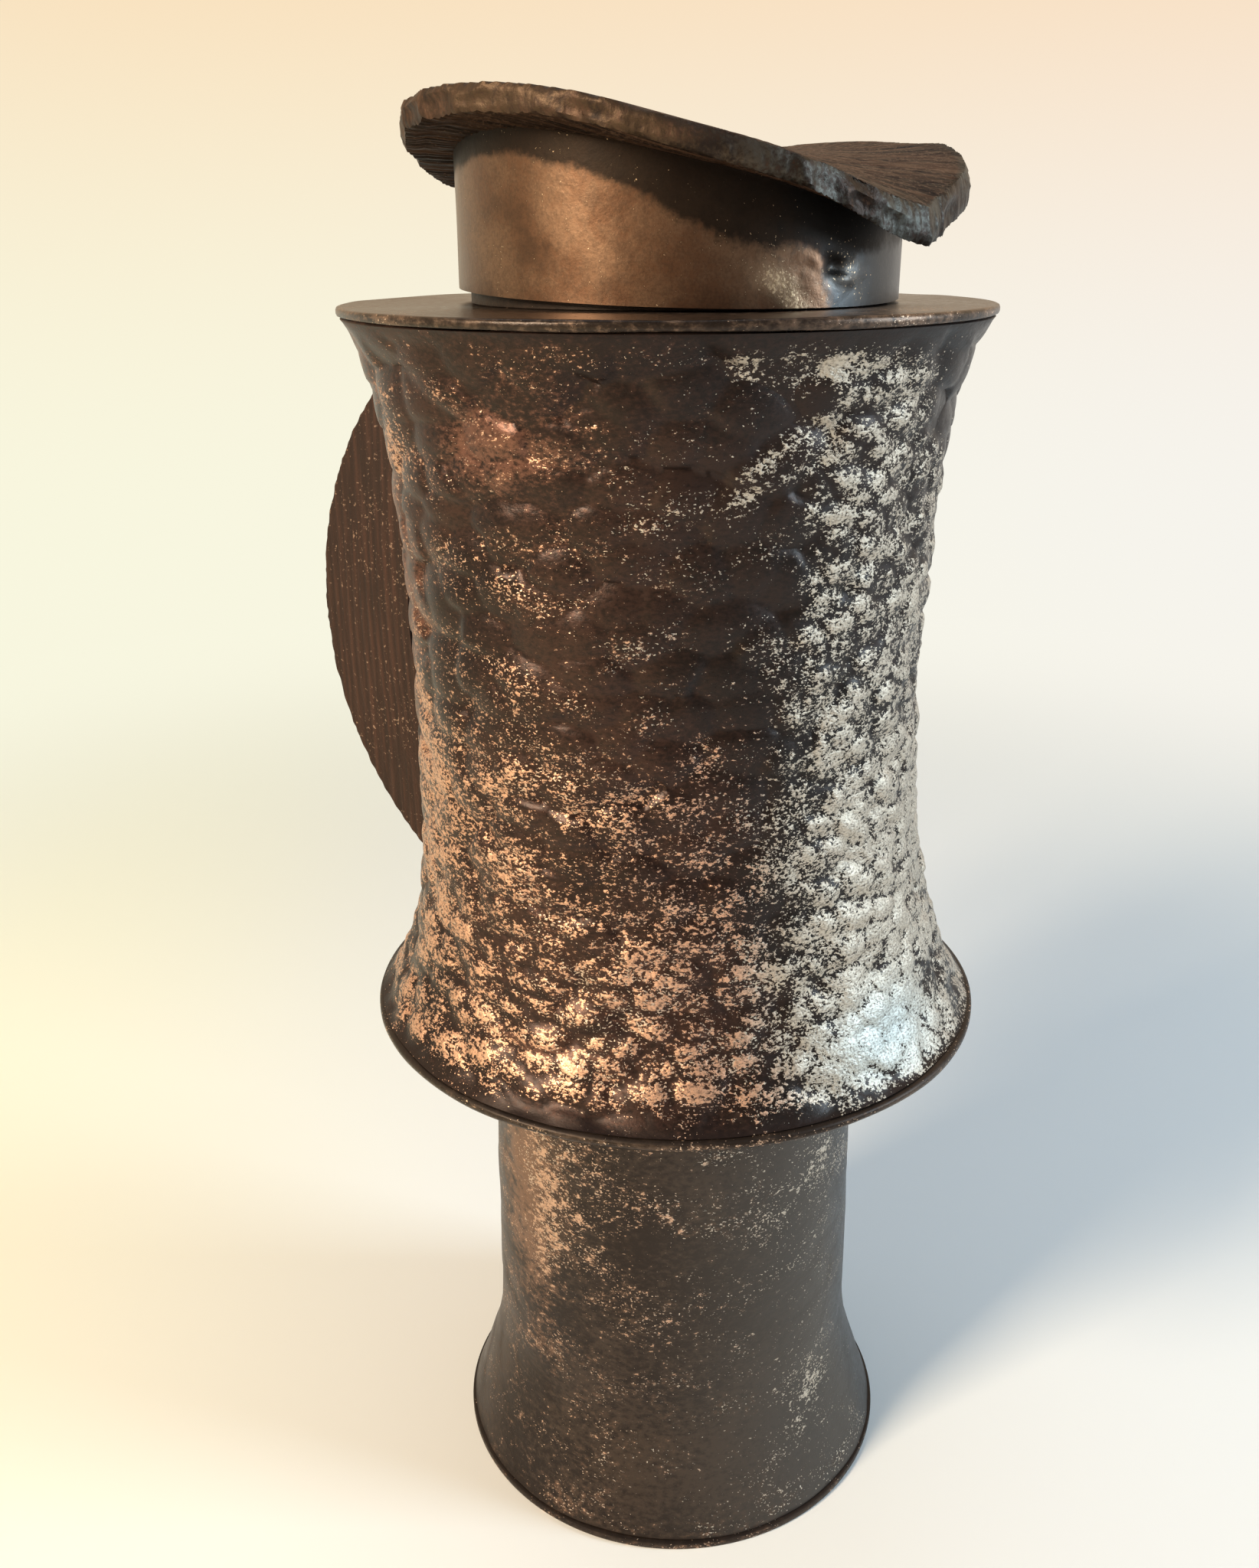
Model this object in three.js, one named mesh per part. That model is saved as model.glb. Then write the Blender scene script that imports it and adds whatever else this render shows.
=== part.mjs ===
// A bronze jug on a tall trumpet foot, with a side handle and a lift-off lid.
// Millimetres, +Z up, origin at the centre of the foot's underside, handle along -X.
import * as THREE from 'three';
import { mergeVertices } from 'three/addons/utils/BufferGeometryUtils.js';

// Foot: a round base disc under a trumpet-shaped tube.
const footBaseProud = 0.6; // base disc beyond the tube
const footBaseThickness = 1.5;
const footVentRadius = 1.5; // lets hot air out of the hollow foot while it is brazed
const footVentFromAxis = 18;
const footFlareRadius = 42.1; // where the tube meets the base disc
const footFlareHeight = 24;
const footFlareEase = 1.25; // above 1 the flare eases into the tube
const footTubeRadius = 35.4; // where the flare ends
const footTopRadius = 34.2;
const footWallHeight = 97.5;
const footWallThickness = 1.5;

// Body: a floor disc and a waisted wall that flares at both ends.
const bodyFloorProud = 0.8; // floor disc beyond the wall
const bodyFloorThickness = 1.5;
const bodyHeight = 120;
const bodyWallThickness = 1.5;
const bodyFootRadius = 54.8; // lower edge of the wall
const bodyFootPullHeight = 11; // how steeply the lower flare leaves the floor
const bodyFootPullIn = 7.8;
const bodyWaistRadius = 43.9;
const bodyWaistHeight = 60; // above the floor
const bodyWaistEaseBelow = 34; // how far the waist stays slim downwards and upwards
const bodyWaistEaseAbove = 30;
const bodyHeadRadius = 51.6; // upper edge of the wall
const bodyHeadPullHeight = 8.5;
const bodyHeadPullIn = 5.4;

// Shoulder and neck: a flat ring plate that carries a short collar.
const shoulderProud = 0.6; // ring plate beyond the wall
const shoulderThickness = 1.5;
const neckRadius = 33;
const neckWallThickness = 1.5;
const neckHeight = 10.5;

// Lid: a sheet skirt over the collar, scribed to a thick twisted plate.
const lidTurn = THREE.MathUtils.degToRad(35); // the lid's own X axis, counted from +X
const lidSkirtClearance = 0.3; // all round the collar
const lidSkirtThickness = 1.5;
const lidSeatGap = 0.3; // under the skirt's lowest point
const lidSkirtFootLean = 1.4; // the skirt's lower edge is cut a little askew
const lidSkirtFootAngle = THREE.MathUtils.degToRad(130); // its highest side, in the lid's frame
const lidOverhang = 8.1; // plate beyond the skirt, on average
const lidPlateOffset = 1.2; // from the skirt's axis to the plate's middle
const lidPlateThickness = 3.6;
const lidPlateChamfer = 0.6;
const lidHeadroom = 3.2; // between the collar's rim and the lowest plate above it
const lidTwist = 4.7; // two opposite corners rise by this much, and the others dip
const lidLeanRight = -2.4;
const lidLeanBack = -0.7;
const lidCornerDrop = 4; // one corner is bent down further
const lidCornerAngle = THREE.MathUtils.degToRad(-38); // that corner, in the lid's frame
const lidCornerSpread = THREE.MathUtils.degToRad(20);

// Handle: a crescent plate that stands on the wall, open for the fingers.
const handleReach = 41.5; // beyond the waist
const handleBand = 23; // between its outer and inner arcs
const handleThickness = 4;
const handleChamfer = 0.6;
const handleFootInset = 5.3; // from the floor up to its lower tip
const handleHeadInset = 3.3; // from the shoulder plate down to its upper tip

// Joints between pieces that follow a neighbour's curved or twisted face.
const brazeGap = 0.3;

// Facets.
const roundSegments = 64;
const footSteps = 6;
const bodySteps = 9;
const plateRings = 6;
const handleArcSteps = 28;
const weldDistance = 1e-4;
const halvings = 40; // steps that close in on where the handle's arc meets the wall

// Heights and radii that follow from the driving dimensions.
const footBaseRadius = footFlareRadius + footBaseProud;
const bodyFloorRadius = bodyFootRadius + bodyFloorProud;
const shoulderRadius = bodyHeadRadius + shoulderProud;
const footWallBottom = footBaseThickness;
const footWallTop = footWallBottom + footWallHeight;
const bodyBottom = footWallTop + bodyFloorThickness;
const bodyTop = bodyBottom + bodyHeight;
const shoulderTop = bodyTop + shoulderThickness;
const neckTop = shoulderTop + neckHeight;
const neckBore = neckRadius - neckWallThickness;
const lidSkirtBore = neckRadius + lidSkirtClearance;
const lidSkirtRadius = lidSkirtBore + lidSkirtThickness;
const lidPlateRadius = lidSkirtRadius + lidOverhang;

// Patinated bronze in the tones of each piece.
const finish = (color, roughness) => new THREE.MeshStandardMaterial({ color, roughness, metalness: 1 });
const hammeredBronze = finish(0x5a4438, 0.42);
const footBronze = finish(0x4a3a33, 0.45);
const sheetBronze = finish(0x4d3c33, 0.38);
const skirtBronze = finish(0x8a6248, 0.36);
const ribbedBronze = finish(0x3f312c, 0.55);

const point = (radius, height) => new THREE.Vector2(radius, height);

// Joins the vertices that a geometry repeats along its seams.
function weld(geometry) {
  geometry.deleteAttribute('normal');
  geometry.deleteAttribute('uv');
  return mergeVertices(geometry, weldDistance);
}

// A solid of revolution about Z from a counter-clockwise (radius, height) outline.
function revolve(outline) {
  return weld(new THREE.LatheGeometry(outline, roundSegments).rotateX(Math.PI / 2));
}

// A closed ring section between two radii and two heights.
function ringOutline(inner, outer, bottom, top) {
  const start = point(inner, bottom);
  return [start, point(outer, bottom), point(outer, top), point(inner, top), start];
}

// A sheet wall of even thickness inside an outer profile that runs upwards.
function shellOutline(profile, thickness) {
  const inside = profile.map((here, i) => {
    const below = profile[Math.max(i - 1, 0)];
    const above = profile[Math.min(i + 1, profile.length - 1)];
    const slope = (above.x - below.x) / (above.y - below.y);
    return point(here.x - thickness * Math.hypot(1, slope), here.y);
  });
  return [...profile, ...inside.reverse(), profile[0]];
}

// The foot's outer profile: an eased flare, then a slightly tapered tube.
function footProfile() {
  const flare = Array.from({ length: footSteps + 1 }, (_, i) => {
    const share = i / footSteps;
    const spread = (footFlareRadius - footTubeRadius) * (1 - share) ** footFlareEase;
    return point(footTubeRadius + spread, footWallBottom + share * footFlareHeight);
  });
  return [...flare, point(footTopRadius, footWallTop)];
}

// The body's outer profile: two curves that meet upright at the waist.
function bodyProfile() {
  const waist = bodyBottom + bodyWaistHeight;
  const lower = new THREE.CubicBezierCurve(
    point(bodyFootRadius, bodyBottom),
    point(bodyFootRadius - bodyFootPullIn, bodyBottom + bodyFootPullHeight),
    point(bodyWaistRadius, waist - bodyWaistEaseBelow),
    point(bodyWaistRadius, waist),
  );
  const upper = new THREE.CubicBezierCurve(
    point(bodyWaistRadius, waist),
    point(bodyWaistRadius, waist + bodyWaistEaseAbove),
    point(bodyHeadRadius - bodyHeadPullIn, bodyTop - bodyHeadPullHeight),
    point(bodyHeadRadius, bodyTop),
  );
  return [...lower.getPoints(bodySteps), ...upper.getPoints(bodySteps).slice(1)];
}

const wallProfile = bodyProfile();

// The wall's outer radius at a height.
function wallRadiusAt(height) {
  const above = Math.max(1, wallProfile.findIndex((p) => p.y >= height));
  const a = wallProfile[above - 1];
  const b = wallProfile[above];
  return THREE.MathUtils.mapLinear(height, a.y, b.y, a.x, b.x);
}

// How far the lid plate rises or dips at a place in the lid's own frame.
function plateRise(x, y) {
  const u = (x - lidPlateOffset) / lidPlateRadius;
  const v = y / lidPlateRadius;
  const fromCorner = (Math.atan2(v, u) - lidCornerAngle) / lidCornerSpread;
  const bend = lidCornerDrop * Math.hypot(u, v) ** 3 * Math.exp(-fromCorner * fromCorner);
  return lidLeanRight * u + lidLeanBack * v + 2 * lidTwist * u * v - bend;
}

// The plate's deepest dip round a circle.
function deepestDip(radius) {
  const dips = Array.from({ length: roundSegments }, (_, i) => {
    const angle = (i / roundSegments) * 2 * Math.PI;
    return plateRise(radius * Math.cos(angle), radius * Math.sin(angle));
  });
  return Math.min(...dips);
}

const plateUnderside = neckTop + lidHeadroom - deepestDip(neckRadius);

// Moves every vertex of a geometry by a function of its place.
function reshape(geometry, move) {
  const place = geometry.getAttribute('position');
  const vertex = new THREE.Vector3();
  for (let i = 0; i < place.count; i += 1) {
    move(vertex.fromBufferAttribute(place, i));
    place.setXYZ(i, vertex.x, vertex.y, vertex.z);
  }
  return geometry;
}

// A disc, then twisted: rings of vertices from its middle to a chamfered rim.
function lidPlateGeometry() {
  const radii = Array.from({ length: plateRings }, (_, i) => (i / plateRings) * lidPlateRadius);
  const top = lidPlateThickness;
  const rim = [
    point(lidPlateRadius - lidPlateChamfer, 0),
    point(lidPlateRadius, lidPlateChamfer),
    point(lidPlateRadius, top - lidPlateChamfer),
    point(lidPlateRadius - lidPlateChamfer, top),
  ];
  const under = radii.map((r) => point(r, 0));
  const over = radii.map((r) => point(r, top)).reverse();
  return reshape(revolve([...under, ...rim, ...over]), (vertex) => {
    vertex.x += lidPlateOffset;
    vertex.z += plateUnderside + plateRise(vertex.x, vertex.y);
  });
}

// A tube whose lower edge is cut askew and whose upper edge is scribed to the plate.
function lidSkirtGeometry() {
  const tube = revolve(ringOutline(lidSkirtBore, lidSkirtRadius, 0, 1));
  return reshape(tube, (vertex) => {
    const towardsHigh = vertex.x * Math.cos(lidSkirtFootAngle) + vertex.y * Math.sin(lidSkirtFootAngle);
    const foot = shoulderTop + lidSeatGap + lidSkirtFootLean * (1 + towardsHigh / lidSkirtRadius);
    const head = plateUnderside + plateRise(vertex.x, vertex.y) - brazeGap;
    vertex.z = THREE.MathUtils.lerp(foot, head, vertex.z);
  });
}

// The circle through three points.
function circleThrough(a, b, c) {
  const ab = b.clone().sub(a);
  const ac = c.clone().sub(a);
  const doubleArea = 2 * ab.cross(ac);
  const centre = point(
    (ac.y * ab.lengthSq() - ab.y * ac.lengthSq()) / doubleArea,
    (ab.x * ac.lengthSq() - ac.x * ab.lengthSq()) / doubleArea,
  ).add(a);
  return { centre, radius: centre.distanceTo(a) };
}

// The part of a circle about the handle's centre that stands clear of the wall, from foot to head.
function arcOffWall(centre, radius) {
  const along = (angle) => point(centre.x + radius * Math.cos(angle), centre.y + radius * Math.sin(angle));
  const clear = (p) => p.x - wallRadiusAt(THREE.MathUtils.clamp(p.y, bodyBottom, bodyTop)) - brazeGap;
  const meet = (side) => {
    let [off, on] = [0, side * Math.PI / 2];
    for (let i = 0; i < halvings; i += 1) {
      const middle = (off + on) / 2;
      if (clear(along(middle)) > 0) off = middle;
      else on = middle;
    }
    return off;
  };
  const [foot, head] = [meet(-1), meet(1)];
  return Array.from({ length: handleArcSteps + 1 }, (_, i) => (
    along(THREE.MathUtils.lerp(foot, head, i / handleArcSteps))
  ));
}

// The stretch of wall, read downwards, that a tip of the handle is brazed to.
function wallBetween(upper, lower) {
  const cornerRoom = 3 * handleChamfer;
  const between = wallProfile.filter((p) => p.y > lower + cornerRoom && p.y < upper - cornerRoom);
  return between.reverse().map((p) => point(p.x + brazeGap, p.y));
}

// A crescent in the plane of the jug's axis, with chamfered edges.
function handleGeometry() {
  const footHeight = bodyBottom + handleFootInset;
  const headHeight = bodyTop - handleHeadInset;
  const outer = circleThrough(
    point(wallRadiusAt(footHeight) + brazeGap, footHeight),
    point(bodyWaistRadius + handleReach, (footHeight + headHeight) / 2),
    point(wallRadiusAt(headHeight) + brazeGap, headHeight),
  );
  const outside = arcOffWall(outer.centre, outer.radius);
  const inside = arcOffWall(outer.centre, outer.radius - handleBand).reverse();
  const head = wallBetween(outside.at(-1).y, inside[0].y);
  const foot = wallBetween(inside.at(-1).y, outside[0].y);
  const crescent = new THREE.ExtrudeGeometry(new THREE.Shape([...outside, ...head, ...inside, ...foot]), {
    depth: handleThickness - 2 * handleChamfer,
    bevelThickness: handleChamfer,
    bevelSize: handleChamfer,
    bevelOffset: -handleChamfer,
    bevelSegments: 1,
  });
  crescent.translate(0, 0, handleChamfer - handleThickness / 2);
  return weld(crescent.rotateX(Math.PI / 2).rotateZ(Math.PI));
}

// A disc with a small vent beside its centre.
function footBaseGeometry() {
  const disc = new THREE.Shape().absarc(0, 0, footBaseRadius, 0, 2 * Math.PI);
  disc.holes.push(new THREE.Path().absarc(0, footVentFromAxis, footVentRadius, 0, 2 * Math.PI, true));
  const plate = { depth: footBaseThickness, bevelEnabled: false, curveSegments: roundSegments / 2 };
  return weld(new THREE.ExtrudeGeometry(disc, plate));
}

function piece(name, geometry, material) {
  const mesh = new THREE.Mesh(geometry, material);
  mesh.name = name;
  return mesh;
}

const bodyFloor = [
  point(0, footWallTop),
  point(bodyFloorRadius, footWallTop),
  point(bodyFloorRadius, bodyBottom),
  point(0, bodyBottom),
];
const shoulderRing = ringOutline(neckBore, shoulderRadius, bodyTop, shoulderTop);
const neckRing = ringOutline(neckBore, neckRadius, shoulderTop, neckTop);

const vessel = new THREE.Group();
vessel.add(
  piece('foot_base', footBaseGeometry(), sheetBronze),
  piece('foot_wall', revolve(shellOutline(footProfile(), footWallThickness)), footBronze),
  piece('body_floor', revolve(bodyFloor), sheetBronze),
  piece('body_wall', revolve(shellOutline(wallProfile, bodyWallThickness)), hammeredBronze),
  piece('shoulder_plate', revolve(shoulderRing), sheetBronze),
  piece('neck_collar', revolve(neckRing), sheetBronze),
  piece('handle_plate', handleGeometry(), ribbedBronze),
);

const lid = new THREE.Group();
lid.rotation.z = lidTurn;
lid.add(
  piece('lid_skirt', lidSkirtGeometry(), skirtBronze),
  piece('lid_plate', lidPlateGeometry(), ribbedBronze),
);

const jug = new THREE.Group();
jug.add(vessel, lid);

export default jug;
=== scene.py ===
"""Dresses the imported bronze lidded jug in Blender.

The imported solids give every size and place. Each class below makes one sub-assembly of the
jug, with the hammer marks, ribs, cut edges and wear that the plain solids leave out.
"""

import logging
import math
from collections.abc import Iterator, Sequence
from contextlib import contextmanager
from dataclasses import dataclass
from enum import Enum
from typing import Union

import bpy
import numpy as np
from mathutils import Matrix, Vector


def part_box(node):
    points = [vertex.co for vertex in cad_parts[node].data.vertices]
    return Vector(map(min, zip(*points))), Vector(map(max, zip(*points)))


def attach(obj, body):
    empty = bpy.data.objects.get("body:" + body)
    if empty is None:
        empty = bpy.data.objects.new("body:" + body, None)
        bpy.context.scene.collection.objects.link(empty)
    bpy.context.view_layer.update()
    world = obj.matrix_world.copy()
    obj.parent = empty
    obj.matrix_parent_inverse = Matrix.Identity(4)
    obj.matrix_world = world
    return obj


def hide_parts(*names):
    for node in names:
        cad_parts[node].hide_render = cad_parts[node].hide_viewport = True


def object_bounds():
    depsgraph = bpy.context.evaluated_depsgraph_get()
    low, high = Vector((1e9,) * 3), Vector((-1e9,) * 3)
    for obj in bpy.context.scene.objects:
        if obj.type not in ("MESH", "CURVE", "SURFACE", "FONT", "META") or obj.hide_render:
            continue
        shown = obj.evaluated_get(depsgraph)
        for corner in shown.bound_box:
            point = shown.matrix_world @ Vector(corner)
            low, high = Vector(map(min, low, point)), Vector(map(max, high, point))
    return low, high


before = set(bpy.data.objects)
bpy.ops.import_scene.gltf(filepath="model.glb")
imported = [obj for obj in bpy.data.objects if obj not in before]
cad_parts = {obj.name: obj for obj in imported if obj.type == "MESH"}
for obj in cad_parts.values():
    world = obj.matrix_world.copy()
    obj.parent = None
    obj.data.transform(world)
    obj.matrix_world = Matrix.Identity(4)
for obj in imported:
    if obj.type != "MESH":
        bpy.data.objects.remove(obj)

CAD_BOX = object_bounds()

MM = 0.001
FULL_TURN = 2 * math.pi
MERGE_WITHIN = 0.004 * MM
PROFILE_SOFTENING = 5 * MM
INNER_ROWS = 26
VIEW_TURN = math.radians(35)
VIEW_RIGHT = np.array([math.cos(VIEW_TURN), math.sin(VIEW_TURN), 0.0])
BEHIND = (-math.sin(VIEW_TURN), math.cos(VIEW_TURN), 0.0)

# Edges sharper than these angles, in degrees, stay sharp in the shading.
SHEET_EDGE = 40
BODY_EDGE = 50
PLATE_EDGE = 35
PAPER_EDGE = 60

# Points of a unit block that lie this near one of its sides are on that side.
SKIN = 0.01

log = logging.getLogger("jug")

Colour = tuple[float, float, float]
Outline = list[tuple[float, float]]
Array = np.ndarray


class Body(Enum):
    """The moving bodies that a piece can ride on."""

    JUG = "jug"
    LID = "lid"


class Slot(Enum):
    """The record's material slots."""

    HAMMERED = "hammered_bronze"
    FOOT = "foot_bronze"
    DISC = "disc_bronze"
    SKIRT = "skirt_bronze"
    RIBBED = "ribbed_bronze"


class Mark(Enum):
    """Point attributes that a piece's mesh carries to its finish."""

    WEAR = "wear"
    CREASE = "crease"
    RIM = "rim"
    # Ash together with painted cool light: greyer patina and paler metal on the side that the cool
    # lamp lights.
    ASH_AND_COOL_LIGHT = "ash_and_cool_light"
    # Painted sheen: highlights and reflections of the lamps, laid into the colour.
    PAINTED_SHEEN = "rub_and_sheen"


def ease(low: float, high: float, value: Array) -> Array:
    """Rises smoothly from 0 at low to 1 at high, or falls where low is above high.

    Args:
        low: Value at which the result is 0.
        high: Value at which the result is 1.
        value: Values to ease.

    Returns:
        The eased values, between 0 and 1.
    """
    t = np.clip((value - low) / (high - low), 0, 1)
    return t * t * (3 - 2 * t)


def bell(value: Array, middle: float, spread: float) -> Array:
    """Rises to 1 at the middle and falls away over the spread on both sides."""
    return np.exp(-(((value - middle) / spread) ** 2))


def tent(value: Array) -> Array:
    """Rises from 0 at each whole number to 1 halfway to the next."""
    return 1 - np.abs((value % 1) * 2 - 1)


def from_axis(points: Array) -> Array:
    """Distance of each point from the jug's axis."""
    return np.hypot(points[:, 0], points[:, 1])


def bearing(points: Array) -> Array:
    """Angle of each point round the jug's axis, 0 along +X."""
    return np.arctan2(points[:, 1], points[:, 0])


def facing(points: Array) -> Array:
    """Degrees of each point round the axis, 0 on the viewed front and positive to its right."""
    angle = bearing(points) + math.pi / 2 - VIEW_TURN
    return np.degrees((angle + math.pi) % FULL_TURN - math.pi)


class Grain:
    """Seeded smooth noise on numpy arrays, between -1 and 1."""

    CELLS = 512

    def __init__(self, seed: int) -> None:
        """Fills the noise's table from the seed."""
        self.table = np.random.default_rng(seed).uniform(-1, 1, (self.CELLS, self.CELLS))

    def at(self, u: Array, v: Array, around: int = CELLS) -> Array:
        """Reads the noise.

        Args:
            u: First coordinate, in cells.
            v: Second coordinate, in cells.
            around: Number of cells after which u repeats.

        Returns:
            The noise at each place.
        """
        iu, iv = np.floor(u).astype(int), np.floor(v).astype(int)
        fu, fv = ease(0, 1, u - iu), ease(0, 1, v - iv)
        left, right = iu % around, (iu + 1) % around
        low, high = iv % self.CELLS, (iv + 1) % self.CELLS
        below = self.table[left, low] * (1 - fu) + self.table[right, low] * fu
        above = self.table[left, high] * (1 - fu) + self.table[right, high] * fu
        return below * (1 - fv) + above * fv


class Solid:
    """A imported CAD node, read for the sizes that its dressed piece follows."""

    SIDEWAYS = 0.3
    SAME_LEVEL = 0.002 * MM

    def __init__(self, node: str) -> None:
        """Reads the node's points and faces.

        Args:
            node: Name of the CAD node.
        """
        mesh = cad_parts[node].data
        self.points = np.array([tuple(v.co) for v in mesh.vertices])
        self.corners = np.array([tuple(p.vertices) for p in mesh.polygons])
        self.normals = np.array([tuple(p.normal) for p in mesh.polygons])
        self.low, self.high = (np.array(corner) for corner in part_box(node))

    def outward(self) -> Array:
        """How far each face looks away from the jug's axis.

        Returns:
            -1 on a face that looks at the axis, and 1 on one that looks away.
        """
        middle = self.points[self.corners].mean(axis=1)[:, :2]
        radial = middle / np.maximum(np.linalg.norm(middle, axis=1), MERGE_WITHIN)[:, None]
        return (self.normals[:, :2] * radial).sum(axis=1)

    def on(self, faces: Array) -> Array:
        """Points of the chosen faces."""
        return self.points[np.unique(self.corners[faces])]

    def profile(self, outer: bool) -> tuple[Array, Array]:
        """Heights and radii up one side of a turned wall.

        Args:
            outer: True for the outer side, False for the inner.

        Returns:
            The heights, rising, and the radius at each.
        """
        sign = 1 if outer else -1
        side = self.on(self.outward() * sign > self.SIDEWAYS)
        heights = np.unique(side[:, 2].round(6))
        radii = from_axis(side)
        rings = [np.abs(side[:, 2] - z) < self.SAME_LEVEL for z in heights]
        return heights, np.array([radii[ring].mean() for ring in rings])

    def edges(self) -> tuple[Array, Array, Array]:
        """Lower and upper edge of a tube round its axis.

        Returns:
            The angles, rising, and the lowest and highest point at each.
        """
        side = self.on(self.outward() > self.SIDEWAYS)
        turns = bearing(side).round(3)
        angles = np.unique(turns)
        heights = [side[turns == turn, 2] for turn in angles]
        lows = np.array([column.min() for column in heights])
        highs = np.array([column.max() for column in heights])
        return angles, lows, highs

    def rise(self, points: Array) -> Array:
        """Height of each point as a share of the solid's, 0 at its foot and 1 at its head."""
        return (points[:, 2] - self.low[2]) / (self.high[2] - self.low[2])

    def radius(self) -> float:
        """Largest distance from the axis."""
        return float(from_axis(self.points).max())

    def bore(self) -> float:
        """Smallest distance from the axis."""
        return float(from_axis(self.points).min())


class Work:
    """One piece on the bench, shaped with Blender's modelling operators as by hand."""

    DRILL_SIDES = 48
    DRILL_LENGTH = 20 * MM

    def __init__(self, name: str) -> None:
        """Takes up the primitive that was just added, under its new name.

        Args:
            name: Name for the piece and its mesh.
        """
        self.piece = bpy.context.active_object
        self.piece.name = name
        self.piece.data.name = name

    @staticmethod
    def clear() -> None:
        """Deselects every object."""
        bpy.ops.object.select_all(action="DESELECT")

    def pick(self) -> None:
        """Selects the piece alone, for the next operator to act on."""
        self.clear()
        self.piece.select_set(True)
        bpy.context.view_layer.objects.active = self.piece

    @contextmanager
    def editing(self) -> Iterator[None]:
        """Opens the piece in edit mode with everything selected.

        Yields:
            Nothing, while edit mode is on.
        """
        self.pick()
        bpy.ops.object.mode_set(mode="EDIT")
        bpy.ops.mesh.select_all(action="SELECT")
        yield
        bpy.ops.object.mode_set(mode="OBJECT")

    def weld(self) -> None:
        """Merges doubled points and turns all faces outwards."""
        with self.editing():
            bpy.ops.mesh.remove_doubles(threshold=MERGE_WITHIN)
            bpy.ops.mesh.dissolve_degenerate(threshold=MERGE_WITHIN / 2)
            bpy.ops.mesh.select_all(action="SELECT")
            bpy.ops.mesh.normals_make_consistent(inside=False)

    def face_out(self) -> None:
        """Turns a closed piece's faces round if they enclose a negative volume."""
        mesh, places = self.piece.data, self.points()
        mesh.calc_loop_triangles()
        corners = np.empty(len(mesh.loop_triangles) * 3, np.int32)
        mesh.loop_triangles.foreach_get("vertices", corners)
        first, second, third = (places[corners[start::3]] for start in range(3))
        if np.sum(first * np.cross(second, third)) < 0:
            with self.editing():
                bpy.ops.mesh.flip_normals()

    @classmethod
    def spin(cls, name: str, outline: Outline, steps: int, closed: bool = True) -> "Work":
        """Turns an outline about the jug's axis.

        Args:
            name: Name of the piece.
            outline: Radius and height of each corner, in order.
            steps: Number of segments in a full turn, a multiple of four.
            closed: True where the last corner joins the first.

        Returns:
            The turned piece.
        """
        corners = outline + outline[:1] if closed else outline
        cls.clear()
        bpy.ops.mesh.primitive_plane_add(size=MM)
        work = cls(name)
        with work.editing():
            bpy.ops.mesh.merge(type="CENTER")
            bpy.ops.transform.translate(value=(corners[0][0], 0, corners[0][1]))
            for (r0, z0), (r1, z1) in zip(corners, corners[1:]):
                step = {"value": (r1 - r0, 0, z1 - z0)}
                bpy.ops.mesh.extrude_vertices_move(TRANSFORM_OT_translate=step)
            bpy.ops.mesh.select_all(action="SELECT")
            bpy.ops.mesh.remove_doubles(threshold=MERGE_WITHIN)
            bpy.ops.mesh.select_all(action="SELECT")
            about = {"center": (0, 0, 0), "axis": (0, 0, 1)}
            bpy.ops.mesh.spin(steps=steps // 4, angle=FULL_TURN / 4, **about)
            bpy.ops.mesh.select_all(action="SELECT")
            bpy.ops.mesh.spin(steps=3, angle=FULL_TURN * 3 / 4, dupli=True, **about)
        work.weld()
        return work

    @classmethod
    def slab(cls, name: str, divisions: tuple[int, int, int]) -> "Work":
        """Makes a finely divided block from -1 to 1 across and along, and 0 to 1 up.

        Args:
            name: Name of the piece.
            divisions: Number of divisions along X, Y and Z.

        Returns:
            The block, ready to be shaped.
        """
        across, along, layers = divisions
        cls.clear()
        bpy.ops.mesh.primitive_grid_add(x_subdivisions=across, y_subdivisions=along, size=2)
        work = cls(name)
        with work.editing():
            for _ in range(layers):
                rise = {"value": (0, 0, 1 / layers)}
                bpy.ops.mesh.extrude_region_move(TRANSFORM_OT_translate=rise)
        return work

    def points(self) -> Array:
        """Reads the piece's points as an array of rows.

        Returns:
            The place of each point, in metres.
        """
        places = np.empty(len(self.piece.data.vertices) * 3)
        self.piece.data.vertices.foreach_get("co", places)
        return places.reshape(-1, 3)

    def normals(self) -> Array:
        """Reads the piece's point normals as an array of rows.

        Returns:
            The normal at each point.
        """
        turns = np.empty(len(self.piece.data.vertices) * 3, np.float32)
        self.piece.data.vertex_normals.foreach_get("vector", turns)
        return turns.reshape(-1, 3)

    def place(self, places: Array) -> None:
        """Moves the piece's points to new places."""
        self.piece.data.vertices.foreach_set("co", places.ravel())
        self.piece.data.update()

    def mark(self, mark: Mark, values: Array) -> None:
        """Stores a value on each of the piece's points."""
        layer = self.piece.data.attributes.new(mark.value, "FLOAT", "POINT")
        layer.data.foreach_set("value", values.astype(np.float32))

    def roughen(self, lump: float, height: float) -> None:
        """Raises soft lumps on the piece with an applied Displace modifier.

        Args:
            lump: Width of a lump, in metres.
            height: Height from hollow to crest, in metres.
        """
        lumps = bpy.data.textures.new(f"{self.piece.name}_lumps", "CLOUDS")
        lumps.noise_scale = lump
        lumps.noise_depth = 1
        self.modify("DISPLACE", texture=lumps, strength=height, mid_level=0.5)
        bpy.data.textures.remove(lumps)

    def modify(self, kind: str, **settings: object) -> None:
        """Adds a modifier to the piece and applies it.

        Args:
            kind: Modifier type.
            settings: Values for the modifier's properties.
        """
        self.pick()
        modifier = self.piece.modifiers.new(kind.title(), kind)
        for key, value in settings.items():
            setattr(modifier, key, value)
        bpy.ops.object.modifier_apply(modifier=modifier.name)

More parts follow.
